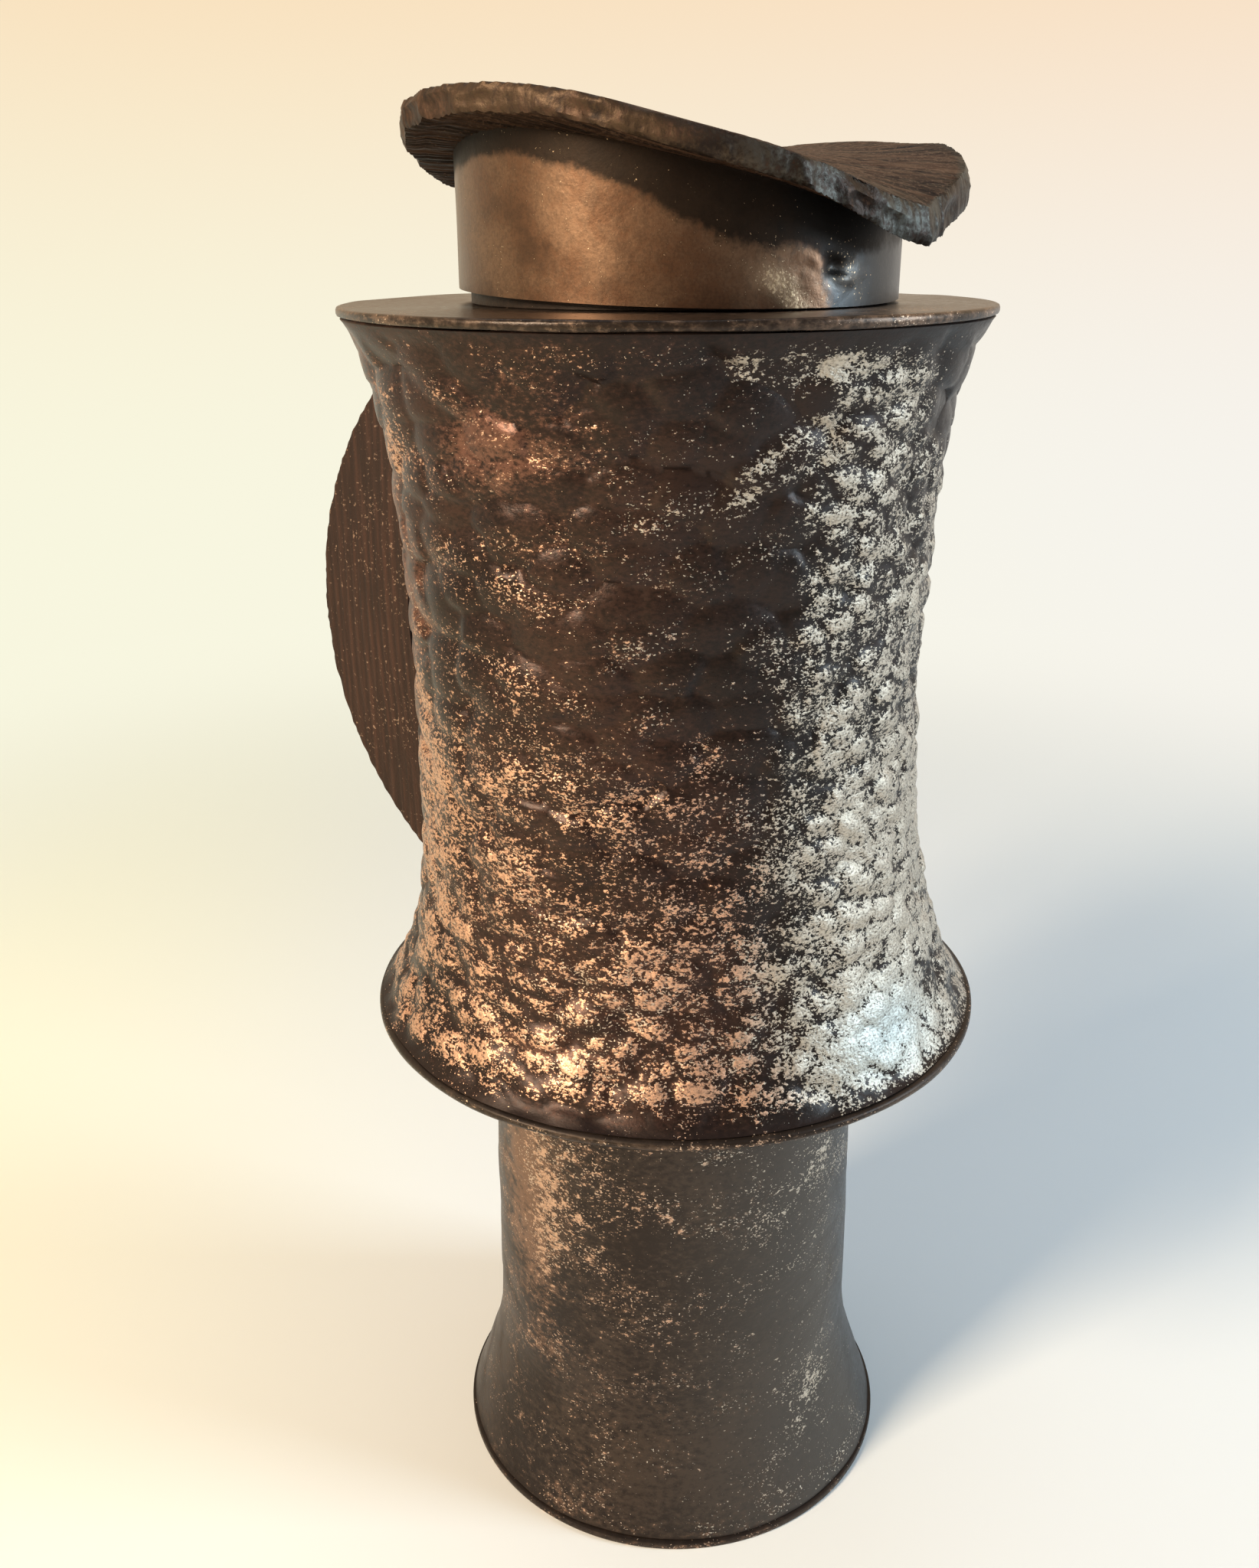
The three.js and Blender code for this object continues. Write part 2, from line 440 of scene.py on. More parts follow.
    def drill(self, middle: Vector, radius: float) -> None:
        """Cuts an upright round hole with an applied Boolean modifier.

        Args:
            middle: A place on the hole's axis, inside the piece.
            radius: The hole's radius, in metres.
        """
        self.clear()
        bpy.ops.mesh.primitive_cylinder_add(
            vertices=self.DRILL_SIDES, radius=radius, depth=self.DRILL_LENGTH, location=middle
        )
        drill = Work("drill").piece
        self.modify("BOOLEAN", object=drill, operation="DIFFERENCE", solver="EXACT")
        bpy.data.objects.remove(drill)

    def smooth(self, degrees: float) -> None:
        """Shades the piece smooth except across edges sharper than the angle."""
        self.pick()
        bpy.ops.object.shade_smooth_by_angle(angle=math.radians(degrees))


@dataclass(frozen=True)
class HammerBlows:
    """Rows of overlapping hammer blows round a turned wall."""

    ROWS = 512
    SCATTER = 0.42

    seed: int
    width: float
    height: float
    depth: float
    tilt: float
    crown: float
    softness: float

    def strike(self, points: Array, girth: float) -> tuple[Array, Array]:
        """Works out the relief that the blows leave.

        Args:
            points: Places on the wall.
            girth: Radius at which the blows have their width.

        Returns:
            The height of the relief in metres, and 0 on a facet rising to 1 in a crease.
        """
        columns = round(FULL_TURN * girth / self.width)
        draws = np.random.default_rng(self.seed).uniform(-1, 1, (5, self.ROWS, columns))
        u = (bearing(points) / FULL_TURN + 0.5) * columns
        v = points[:, 2] / self.height
        row, column = np.floor(v).astype(int), np.floor(u).astype(int)
        total, strongest, relief = np.zeros((3, len(points)))
        for down in (-1, 0, 1):
            j = row + down
            stagger = (j % 2) * 0.5
            for side in (-1, 0, 1, 2):
                i = column + side - (stagger > 0)
                cell = (j % self.ROWS, i % columns)
                shift, drop, lift, lean, nod = (draw[cell] for draw in draws)
                du = u - (i + 0.5 + stagger + self.SCATTER * shift)
                dv = v - (j + 0.5 + self.SCATTER * drop)
                apart = du * du + dv * dv
                weight = np.exp(-apart / self.softness)
                facet = self.depth * lift + self.tilt * (lean * du + nod * dv)
                relief += weight * (facet - self.crown * apart)
                total += weight
                strongest = np.maximum(strongest, weight)
        crease = 1 - strongest / total
        return relief / total, np.clip(crease * 2, 0, 1)


@dataclass(frozen=True)
class Rub:
    """A rubbed or dented place on a turned wall, or a place of painted sheen, by degrees round it
    and rise up it.
    """

    turn: float
    rise: float
    wide: float
    tall: float
    amount: float
    slant: float = 0.0

    def at(self, turn: Array, rise: Array) -> Array:
        """How much of the rub reaches each place.

        Args:
            turn: Angle round the wall, in degrees.
            rise: Height up the wall, in the measure of the rub's own rise.

        Returns:
            The amount at each place.
        """
        along = turn - self.turn
        up = rise - self.slant * along
        return self.amount * bell(along, 0, self.wide) * bell(up, self.rise, self.tall)


def rubbed(rubs: Sequence[Rub], turn: Array, rise: Array) -> Array:
    """Sum of the rubs that reach each place."""
    return sum(rub.at(turn, rise) for rub in rubs)


Value = Union["Wire", float, Colour]


class Wire:
    """A node's output that takes part in Python sums, each of which adds a Math node."""

    def __init__(self, coat: "Coat", socket: bpy.types.NodeSocket) -> None:
        """Keeps the output and the coat that it belongs to."""
        self.coat = coat
        self.socket = socket

    def sum(self, operation: str, *values: Value) -> "Wire":
        """Adds a Math node on the values."""
        return self.coat.node("Math", {"operation": operation}, dict(enumerate(values)))

    def __add__(self, other: Value) -> "Wire":
        """Adds a value."""
        return self.sum("ADD", self, other)

    def __radd__(self, other: Value) -> "Wire":
        """Is added to a value."""
        return self.sum("ADD", other, self)

    def __sub__(self, other: Value) -> "Wire":
        """Takes a value away."""
        return self.sum("SUBTRACT", self, other)

    def __rsub__(self, other: Value) -> "Wire":
        """Is taken away from a value."""
        return self.sum("SUBTRACT", other, self)

    def __mul__(self, other: Value) -> "Wire":
        """Multiplies by a value."""
        return self.sum("MULTIPLY", self, other)

    def __rmul__(self, other: Value) -> "Wire":
        """Multiplies a value."""
        return self.sum("MULTIPLY", other, self)

    def larger(self, other: Value) -> "Wire":
        """Takes the larger of itself and a value."""
        return self.sum("MAXIMUM", self, other)

    def between(self, low: Value, high: Value) -> "Wire":
        """Rises smoothly from 0 at low to 1 at high."""
        inputs = {"Value": self, "From Min": low, "From Max": high}
        return self.coat.node("MapRange", {"interpolation_type": "SMOOTHSTEP"}, inputs)


class Coat:
    """One material and the nodes that make it."""

    def __init__(self, name: str) -> None:
        """Makes an empty material.

        Args:
            name: Name of the material.
        """
        self.material = bpy.data.materials.new(name)
        self.material.use_nodes = True
        self.tree = self.material.node_tree
        self.tree.nodes.clear()

    def node(
        self,
        kind: str,
        settings: dict[str, object],
        inputs: dict[Union[str, int], Value],
        output: Union[str, int] = 0,
    ) -> Wire:
        """Adds a node.

        Args:
            kind: Node type without its ShaderNode prefix.
            settings: The node's own properties, set before its sockets.
            inputs: A value or a wire for each input, by name or number.
            output: The output to hand on, by name or number.

        Returns:
            A wire from that output.
        """
        made = self.tree.nodes.new(f"ShaderNode{kind}")
        for key, value in settings.items():
            setattr(made, key, value)
        for key, value in inputs.items():
            if isinstance(value, Wire):
                self.tree.links.new(value.socket, made.inputs[key])
            elif isinstance(value, tuple) and made.inputs[key].type == "RGBA":
                made.inputs[key].default_value = (*value, 1.0)
            else:
                made.inputs[key].default_value = value
        return Wire(self, made.outputs[output])

    def place(self) -> Wire:
        """Place on the piece, in metres."""
        return self.node("TexCoord", {}, {}, "Object")

    def laid(self, cell: Colour, turn: float = 0.0) -> Wire:
        """Place on the piece, counted in long or flat cells.

        Args:
            cell: Size of a cell along each axis, in metres.
            turn: Angle of the cells about the jug's axis, in radians.

        Returns:
            The place, in cells.
        """
        inputs = {"Vector": self.place(), "Rotation": (0.0, 0.0, turn), "Scale": cell}
        return self.node("Mapping", {"vector_type": "TEXTURE"}, inputs)

    def noise(self, place: Wire, scale: float, detail: float, rough: float) -> Wire:
        """Soft noise about 0.5, with that many lumps to a unit of the place."""
        inputs = {"Vector": place, "Scale": scale, "Detail": detail, "Roughness": rough}
        return self.node("TexNoise", {}, inputs)

    def mark(self, mark: Mark) -> Wire:
        """Value that the piece's mesh carries."""
        return self.node("Attribute", {"attribute_name": mark.value}, {}, "Fac")

    def mix(self, share: Value, first: Value, second: Value) -> Wire:
        """Colour that goes from the first to the second as the share goes from 0 to 1."""
        return self.node("Mix", {"data_type": "RGBA"}, {0: share, 6: first, 7: second}, 2)

    def bump(self, height: Wire, distance: float, strength: float) -> Wire:
        """Normal of a surface with that relief, distance metres deep."""
        inputs = {"Height": height, "Distance": distance, "Strength": strength}
        return self.node("Bump", {}, inputs)

    def finish(self, inputs: dict[Union[str, int], Value]) -> bpy.types.Material:
        """Ends the material in a Principled surface with these inputs.

        Args:
            inputs: A value or a wire for each input of the surface.

        Returns:
            The finished material.
        """
        surface = self.node("BsdfPrincipled", {}, inputs)
        self.node_out(surface)
        return self.material

    def node_out(self, surface: Wire) -> None:
        """Joins a surface to the material's output."""
        end = self.tree.nodes.new("ShaderNodeOutputMaterial")
        self.tree.links.new(surface.socket, end.inputs["Surface"])


@dataclass(frozen=True)
class Patina:
    """Dark bronze patina rubbed through to bright metal in specks and patches, with painted sheens
    of the lamps and, on the right, ash together with painted cool light.
    """

    name: str
    dark: Colour
    brown: Colour
    # Tint of the rubbed patina and of the painted sheens.
    rub_and_sheen: Colour
    # Bare metal: copper on the left and pale on the right, partly the metal's own colour and
    # partly painted warm and cool light.
    copper: Colour
    pale: Colour
    # Painted highlight of the cool lamp on bare metal, low on the right.
    painted_cool_highlight: Colour
    # Patina on the right side: ash together with painted cool light.
    soot_and_cool_light: Colour
    speck: float
    patch: float
    cluster: float
    threshold: float
    reach: float
    roughness: float

    def material(self) -> bpy.types.Material:
        """Makes the material.

        Returns:
            The finished material.
        """
        coat = Coat(self.name)
        patch, speck, wide = (
            coat.laid(flat_cell(size)) for size in (self.patch, self.speck, self.cluster)
        )
        grain = coat.noise(patch, scale=1.0, detail=3.0, rough=0.7)
        spot = coat.noise(speck, scale=1.0, detail=2.0, rough=0.5)
        cluster = coat.noise(wide, scale=1.0, detail=3.0, rough=0.6)
        cloud = coat.noise(coat.place(), scale=28.0, detail=3.0, rough=0.55)
        wear, crease, ash_and_cool_light = (coat.mark(mark) for mark in (Mark.WEAR, Mark.CREASE, Mark.ASH_AND_COOL_LIGHT))
        chance = wear + (cluster - 0.5) * 2.0 - crease * (0.5 + cloud.between(0.35, 0.65) * 1.3)
        patches = (grain - self.threshold + chance * self.reach).between(-0.01, 0.01)
        spatter = (spot + (cluster - 0.5) * 0.5 + wear * 0.1 - crease * 0.05).between(0.702, 0.719)
        bare = patches.larger(spatter)
        rubbed = (chance + (cloud - 0.5) * 1.6).between(0.4, 1.6) * (1.0 - ash_and_cool_light * 0.8)
        # Painted sheen: highlights and reflections of the lamps, laid over the rubbed patina.
        rub_and_sheen = coat.mark(Mark.PAINTED_SHEEN)
        painted_sheen = rub_and_sheen + (cluster - 0.5) * 2.2 + (grain - 0.5) * 2.6
        rubbed = (rubbed * 0.25).larger(painted_sheen.between(0.2, 1.2) * 0.85)
        shade = cloud + (grain - 0.5) * 1.2
        tone = coat.mix(shade.between(0.32, 0.7), self.dark, self.brown)
        # Greyer on the right side: ash together with painted cool light.
        tone = coat.mix(ash_and_cool_light * 0.7, tone, self.soot_and_cool_light)
        tone = coat.mix(rubbed, tone, coat.mix(ash_and_cool_light, self.rub_and_sheen, self.brown))
        tone = coat.mix(crease.between(0.4, 1.0) * 0.8, tone, self.dark)
        # Bare metal turns from copper to pale on the right, partly painted cool light, and takes
        # the painted cool highlight where the painted sheen lies there.
        greyed = ash_and_cool_light + (cloud - 0.5) * 1.2 + (1.0 - patches) * 0.4
        paler = coat.mix(rub_and_sheen * ash_and_cool_light, self.pale, self.painted_cool_highlight)
        metal = coat.mix(greyed.between(0.1, 0.8), self.copper, paler)
        metal = coat.mix(spot.between(0.34, 0.56), coat.mix(0.5, metal, tone), metal)
        relief = bare * 0.45 + grain * (0.3 + bare * 0.9) + cluster * 0.3
        rough = (shade - 0.5) * 0.25 + self.roughness + crease * 0.16
        return coat.finish(
            {
                "Base Color": coat.mix(bare, tone, metal),
                "Metallic": bare * 0.3 + 0.5,
                "Specular IOR Level": 0.28,
                "Roughness": rough + bare * (0.06 + ash_and_cool_light * 0.1),
                "Normal": coat.bump(relief, 0.25 * MM, 0.8),
            }
        )


def flat_cell(height: float) -> Colour:
    """Size of a speck that is wider than it is tall."""
    return (1.6 * height, 1.6 * height, height)


@dataclass(frozen=True)
class HeatStainAndShadow:
    """Smooth bronze sheet, mottled by heat, darkest where it was brazed under the plate, from heat
    stain together with painted shadow, and brightened by a painted highlight.
    """

    name: str
    bronze: Colour
    tan: Colour
    blot: Colour
    # Heat stain together with painted shadow under the plate.
    stain_and_shadow: Colour
    # Ash together with painted cool light on the right side.
    ash_and_cool_light: Colour
    # Painted highlight, also used for bright specks.
    bright: Colour

    def material(self) -> bpy.types.Material:
        """Makes the material.

        Returns:
            The finished material.
        """
        coat = Coat(self.name)
        place = coat.place()
        mottle = coat.noise(place, scale=90.0, detail=5.0, rough=0.62)
        blots = coat.noise(place, scale=150.0, detail=3.0, rough=0.55)
        fine = coat.noise(place, scale=900.0, detail=4.0, rough=0.65)
        speck = coat.noise(place, scale=2400.0, detail=3.0, rough=0.6)
        # The crease mark carries heat stain together with painted shadow, and the wear mark a
        # painted highlight.
        scorch_and_shadow, rubbed, ash_and_cool_light = (coat.mark(mark) for mark in (Mark.CREASE, Mark.WEAR, Mark.ASH_AND_COOL_LIGHT))
        ragged = (mottle - 0.5) * 1.8 + (fine - 0.5) * 0.4
        tone = coat.mix((mottle + (fine - 0.5) * 0.4).between(0.38, 0.62), self.bronze, self.tan)
        tone = coat.mix(blots.between(0.52, 0.68) * 0.5, tone, self.blot)
        tone = coat.mix((fine + speck).between(0.85, 1.2) * 0.45, tone, self.blot)
        # Ash together with painted cool light on the right side.
        ash_and_cool_light_share = (ash_and_cool_light + ragged).between(0.35, 0.75)
        tone = coat.mix(ash_and_cool_light_share, tone, self.ash_and_cool_light)
        # Heat stain together with painted shadow under the plate, laid on below.
        dark = (scorch_and_shadow + ragged).between(0.3, 0.8)
        # Painted highlight where the wear mark lies.
        tone = coat.mix((rubbed + ragged * 0.6).between(0.1, 1.4) * 0.6, tone, self.bright)
        tone = coat.mix(dark * 0.93, tone, self.stain_and_shadow)
        # Bright specks, thickest in the painted highlight.
        bright = (speck - 0.72 + rubbed * 0.22 + (mottle - 0.5) * 0.3).between(-0.02, 0.03)
        tone = coat.mix(bright * 0.8, tone, self.bright)
        return coat.finish(
            {
                "Base Color": tone,
                "Metallic": 0.95 - dark * 0.15,
                "Roughness": (mottle - 0.5) * 0.3 + 0.36 + dark * 0.1,
                "Specular IOR Level": 0.25,
                "Normal": coat.bump(fine + mottle + (fine + speck) * rubbed, 0.12 * MM, 0.3),
            }
        )


@dataclass(frozen=True)
class RibbedPlate:
    """Dark brown ribbed plate, bright where its cut edge was chiselled."""

    name: str
    dark: Colour
    brown: Colour
    fleck: Colour
    edge: Colour
    # Ash together with painted cool light at the right end.
    ash_and_cool_light: Colour
    streak: Colour
    turn: float

    def material(self) -> bpy.types.Material:
        """Makes the material.

        Returns:
            The finished material.
        """
        coat = Coat(self.name)
        place = coat.place()
        streaks = coat.laid(self.streak, self.turn)
        streak = coat.noise(streaks, scale=1.0, detail=3.0, rough=0.6)
        fine = coat.noise(place, scale=1500.0, detail=3.0, rough=0.6)
        cloud = coat.noise(place, scale=60.0, detail=3.0, rough=0.6)
        marks = (Mark.WEAR, Mark.CREASE, Mark.RIM, Mark.ASH_AND_COOL_LIGHT)
        ridge, groove, rim, ash_and_cool_light = (coat.mark(mark) for mark in marks)
        tone = coat.mix(streak.between(0.35, 0.68), self.dark, self.brown)
        tone = coat.mix(groove * 0.85, tone, self.dark)
        worn = (fine - 0.68 + ridge * 0.2 + (cloud - 0.5) * 0.25).between(-0.03, 0.05)
        tone = coat.mix(worn * 0.6, tone, self.fleck)
        # Towards the right the cut edge widens and turns grey: ash together with painted cool
        # light.
        cut = rim * (fine + cloud + ash_and_cool_light * 0.35).between(0.75, 1.25)
        chisel = coat.mix(ash_and_cool_light, self.edge, self.ash_and_cool_light)
        chisel = coat.mix((fine + cloud * 2).between(1.2, 1.7), self.dark, chisel)
        tone = coat.mix(cut, tone, chisel)
        return coat.finish(
            {
                "Base Color": tone,
                "Metallic": cut * 0.3 + 0.5,
                "Roughness": (cloud - 0.5) * 0.3 + 0.56 - cut * 0.1,
                "Specular IOR Level": 0.22,
                "Normal": coat.bump(fine + streak, 0.12 * MM, 0.7),
            }
        )


@dataclass(frozen=True)
class Sweep:
    """Pale studio paper, which far from the jug glows with painted light, warm on the left and
    peach above, and turns dark to bounced light and to reflections on the camera's side.
    """

    name: str
    paper: Colour
    # The glow's colours, left, right and above, are painted light; the left one also tints the
    # paper near the jug with painted warm light.
    left: Colour
    right: Colour
    above: Colour
    # Flag colours: the far paper's painted dim surround, seen by bounced light and reflections.
    flag_left: Colour
    flag_right: Colour

    def material(self) -> bpy.types.Material:
        """Makes the material.

        Returns:
            The finished material.
        """
        coat = Coat(self.name)
        place = coat.place()
        seen = coat.node("LightPath", {}, {}, "Is Camera Ray")
        mirrored = coat.node("LightPath", {}, {}, "Is Glossy Ray")
        reach = coat.node("VectorMath", {"operation": "LENGTH"}, {0: place}, "Value")
        sideways = self.toward(coat, tuple(VIEW_RIGHT))
        upwards = self.toward(coat, (0.0, 0.0, 1.0))
        behind = self.toward(coat, BEHIND)
        aside = sideways.between(-0.5, 0.6)
        # Painted light: the glow is warm on the left and peach above.
        glow = coat.mix(aside, self.left, self.right)
        glow = coat.mix(upwards.between(0.03, 0.65), glow, self.above)
        fibre = coat.noise(place, scale=400.0, detail=2.0, rough=0.5)
        far = reach.between(0.3, 1.0)
        # Painted warm light on the paper's left side, with a little fibre.
        warm = sideways.between(0.0, -0.25) + fibre * 0.06
        # Painted dim surround for bounced light and for reflections.
        flag = coat.mix(aside, self.flag_left, self.flag_right)
        sheet = coat.mix(far * (1.0 - seen), coat.mix(warm, self.paper, self.left), flag)
        # The camera sees the far paper glow, and reflections see it glow behind the jug.
        share = seen * reach.between(0.22, 0.62) + mirrored * far * behind.between(-0.9, 0.5)
        matt = coat.node("BsdfDiffuse", {}, {"Color": sheet})
        bright = coat.node("Emission", {}, {"Color": glow, "Strength": 1.0})
        coat.node_out(coat.node("MixShader", {}, {0: share, 1: matt, 2: bright}))
        return coat.material

    @staticmethod
    def toward(coat: Coat, way: Colour) -> Wire:
        """Distance along a direction, in metres."""
        inputs = {0: coat.place(), 1: way}
        return coat.node("VectorMath", {"operation": "DOT_PRODUCT"}, inputs, "Value")


# In the patinas below, the sheen tint, the cool highlight and the right side's tone carry painted
# light.
HAMMERED_FINISH = Patina(
    name="hammered_patina",
    dark=(0.019, 0.011, 0.009),
    brown=(0.046, 0.023, 0.017),
    rub_and_sheen=(0.18, 0.085, 0.058),
    copper=(0.69, 0.412, 0.276),
    pale=(0.57, 0.50, 0.41),
    painted_cool_highlight=(0.56, 0.60, 0.575),
    soot_and_cool_light=(0.015, 0.014, 0.013),
    speck=0.3 * MM,
    patch=0.62 * MM,
    cluster=6.0 * MM,
    threshold=0.68,
    reach=0.17,
    roughness=0.34,
)
FOOT_FINISH = Patina(
    name="foot_patina",
    dark=(0.022, 0.015, 0.012),
    brown=(0.053, 0.037, 0.028),
    rub_and_sheen=(0.205, 0.118, 0.078),
    copper=(0.58, 0.38, 0.27),
    pale=(0.56, 0.50, 0.42),
    painted_cool_highlight=(0.52, 0.54, 0.52),
    soot_and_cool_light=(0.086, 0.080, 0.073),
    speck=0.32 * MM,
    patch=1.0 * MM,
    cluster=8.0 * MM,
    threshold=0.70,
    reach=0.13,
    roughness=0.40,
)
DISC_FINISH = Patina(
    name="disc_patina",
    dark=(0.026, 0.018, 0.014),
    brown=(0.086, 0.058, 0.042),
    rub_and_sheen=(0.25, 0.16, 0.11),
    copper=(0.62, 0.42, 0.29),
    pale=(0.62, 0.50, 0.39),
    painted_cool_highlight=(0.60, 0.52, 0.44),
    soot_and_cool_light=(0.05, 0.045, 0.04),
    speck=0.3 * MM,
    patch=1.0 * MM,
    cluster=12.0 * MM,
    threshold=0.72,
    reach=0.14,
    roughness=0.34,
)
SKIRT_FINISH = HeatStainAndShadow(
    name="skirt_heat_stain_and_shadow",
    bronze=(0.165, 0.089, 0.053),
    tan=(0.22, 0.131, 0.081),
    blot=(0.080, 0.050, 0.034),
    # Heat stain together with painted shadow.
    stain_and_shadow=(0.012, 0.009, 0.007),
    # Ash together with painted cool light.
    ash_and_cool_light=(0.066, 0.067, 0.068),
    # Painted highlight.
    bright=(0.68, 0.49, 0.31),
)
LID_FINISH = RibbedPlate(
    name="lid_ribbed_plate",
    dark=(0.020, 0.013, 0.010),
    brown=(0.105, 0.056, 0.034),
    fleck=(0.15, 0.092, 0.062),
    edge=(0.068, 0.044, 0.028),
    ash_and_cool_light=(0.074, 0.073, 0.064),
    streak=(28 * MM, 1.3 * MM, 6 * MM),
    turn=VIEW_TURN,
)
HANDLE_FINISH = RibbedPlate(
    name="handle_ribbed_plate",
    dark=(0.033, 0.020, 0.016),
    brown=(0.072, 0.036, 0.026),
    fleck=(0.42, 0.28, 0.20),
    edge=(0.12, 0.085, 0.065),
    ash_and_cool_light=(0.12, 0.085, 0.065),
    streak=(1.3 * MM, 1.3 * MM, 20 * MM),
    turn=0.0,
)
PAPER_FINISH = Sweep(
    name="studio_paper",
    paper=(0.87, 0.865, 0.85),
    # Painted light: warm on the left, peach above.
    left=(0.94, 0.925, 0.735),
    right=(0.92, 0.90, 0.86),
    above=(0.95, 0.68, 0.42),
    # Painted dim surround.
    flag_left=(0.42, 0.33, 0.27),
    flag_right=(0.29, 0.285, 0.28),
)


def dress(work: Work, material: bpy.types.Material, body: Body, node: str) -> None:
    """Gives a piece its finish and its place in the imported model.

    Args:
        work: Finished piece.
        material: Its material.
        body: The moving body that it rides on.
        node: The CAD node that it stands for.
    """
    piece = work.piece
    piece.data.materials.clear()
    piece.data.materials.append(material)
    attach(piece, body.value)
    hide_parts(node)
    log.info("%s: %d faces", piece.name, len(piece.data.polygons))


def wall_outline(solid: Solid, step: float, bevel: float) -> Outline:
    """Smooth outline of a turned sheet wall, from its solid's two sides.

    Args:
        solid: The wall's solid.
        step: Spacing of corners up the outer side, in metres.
        bevel: Size of the broken edges, in metres.

    Returns:
        The outline, up the outer side and down the inner.
    """
    low, high = solid.low[2], solid.high[2]
    outer, inner = solid.profile(True), solid.profile(False)
    rows = round((high - low) / step)
    z = np.linspace(low, high, rows + 1)
    r = np.interp(z, *outer)
    reach = max(2, round(PROFILE_SOFTENING / step))
    before = 2 * r[0] - r[reach:0:-1]
    after = 2 * r[-1] - r[-2 : -reach - 2 : -1]
    window = np.hanning(2 * reach + 3)[1:-1]
    r = np.convolve(np.concatenate([before, r, after]), window / window.sum(), "valid")
    z[0], z[-1] = low + bevel, high - bevel
    up = list(zip(r.tolist(), z.tolist()))
    z_in = np.linspace(high - bevel, low + bevel, INNER_ROWS)
    down = list(zip(np.interp(z_in, *inner).tolist(), z_in.tolist()))
    lip = [(up[-1][0] - bevel, high), (down[0][0] + bevel, high)]
    heel = [(down[-1][0] + bevel, low), (up[0][0] - bevel, low)]
    return up + lip + down + heel


def disc_outline(solid: Solid, rings: int, bevel: float) -> Outline:
    """Outline of a flat disc or ring with a rounded rim.

    Args:
        solid: The disc's solid.
        rings: Number of rings from the bore to the rim.
        bevel: Radius of the rim's edges, in metres.

    Returns:
        The outline, out along the underside and back along the top.
    """
    low, high, rim = solid.low[2], solid.high[2], solid.radius()
    bore = solid.bore() if solid.bore() > MM else 0.0
    steps = np.linspace(bore, rim - bevel, rings)
    soft = bevel * (1 - math.cos(math.pi / 4))
    out = [(float(r), low) for r in steps] + [(rim - soft, low + soft), (rim, low + bevel)]
    back = [(rim, high - bevel), (rim - soft, high - soft)]
    return out + back + [(float(r), high) for r in steps[::-1]]


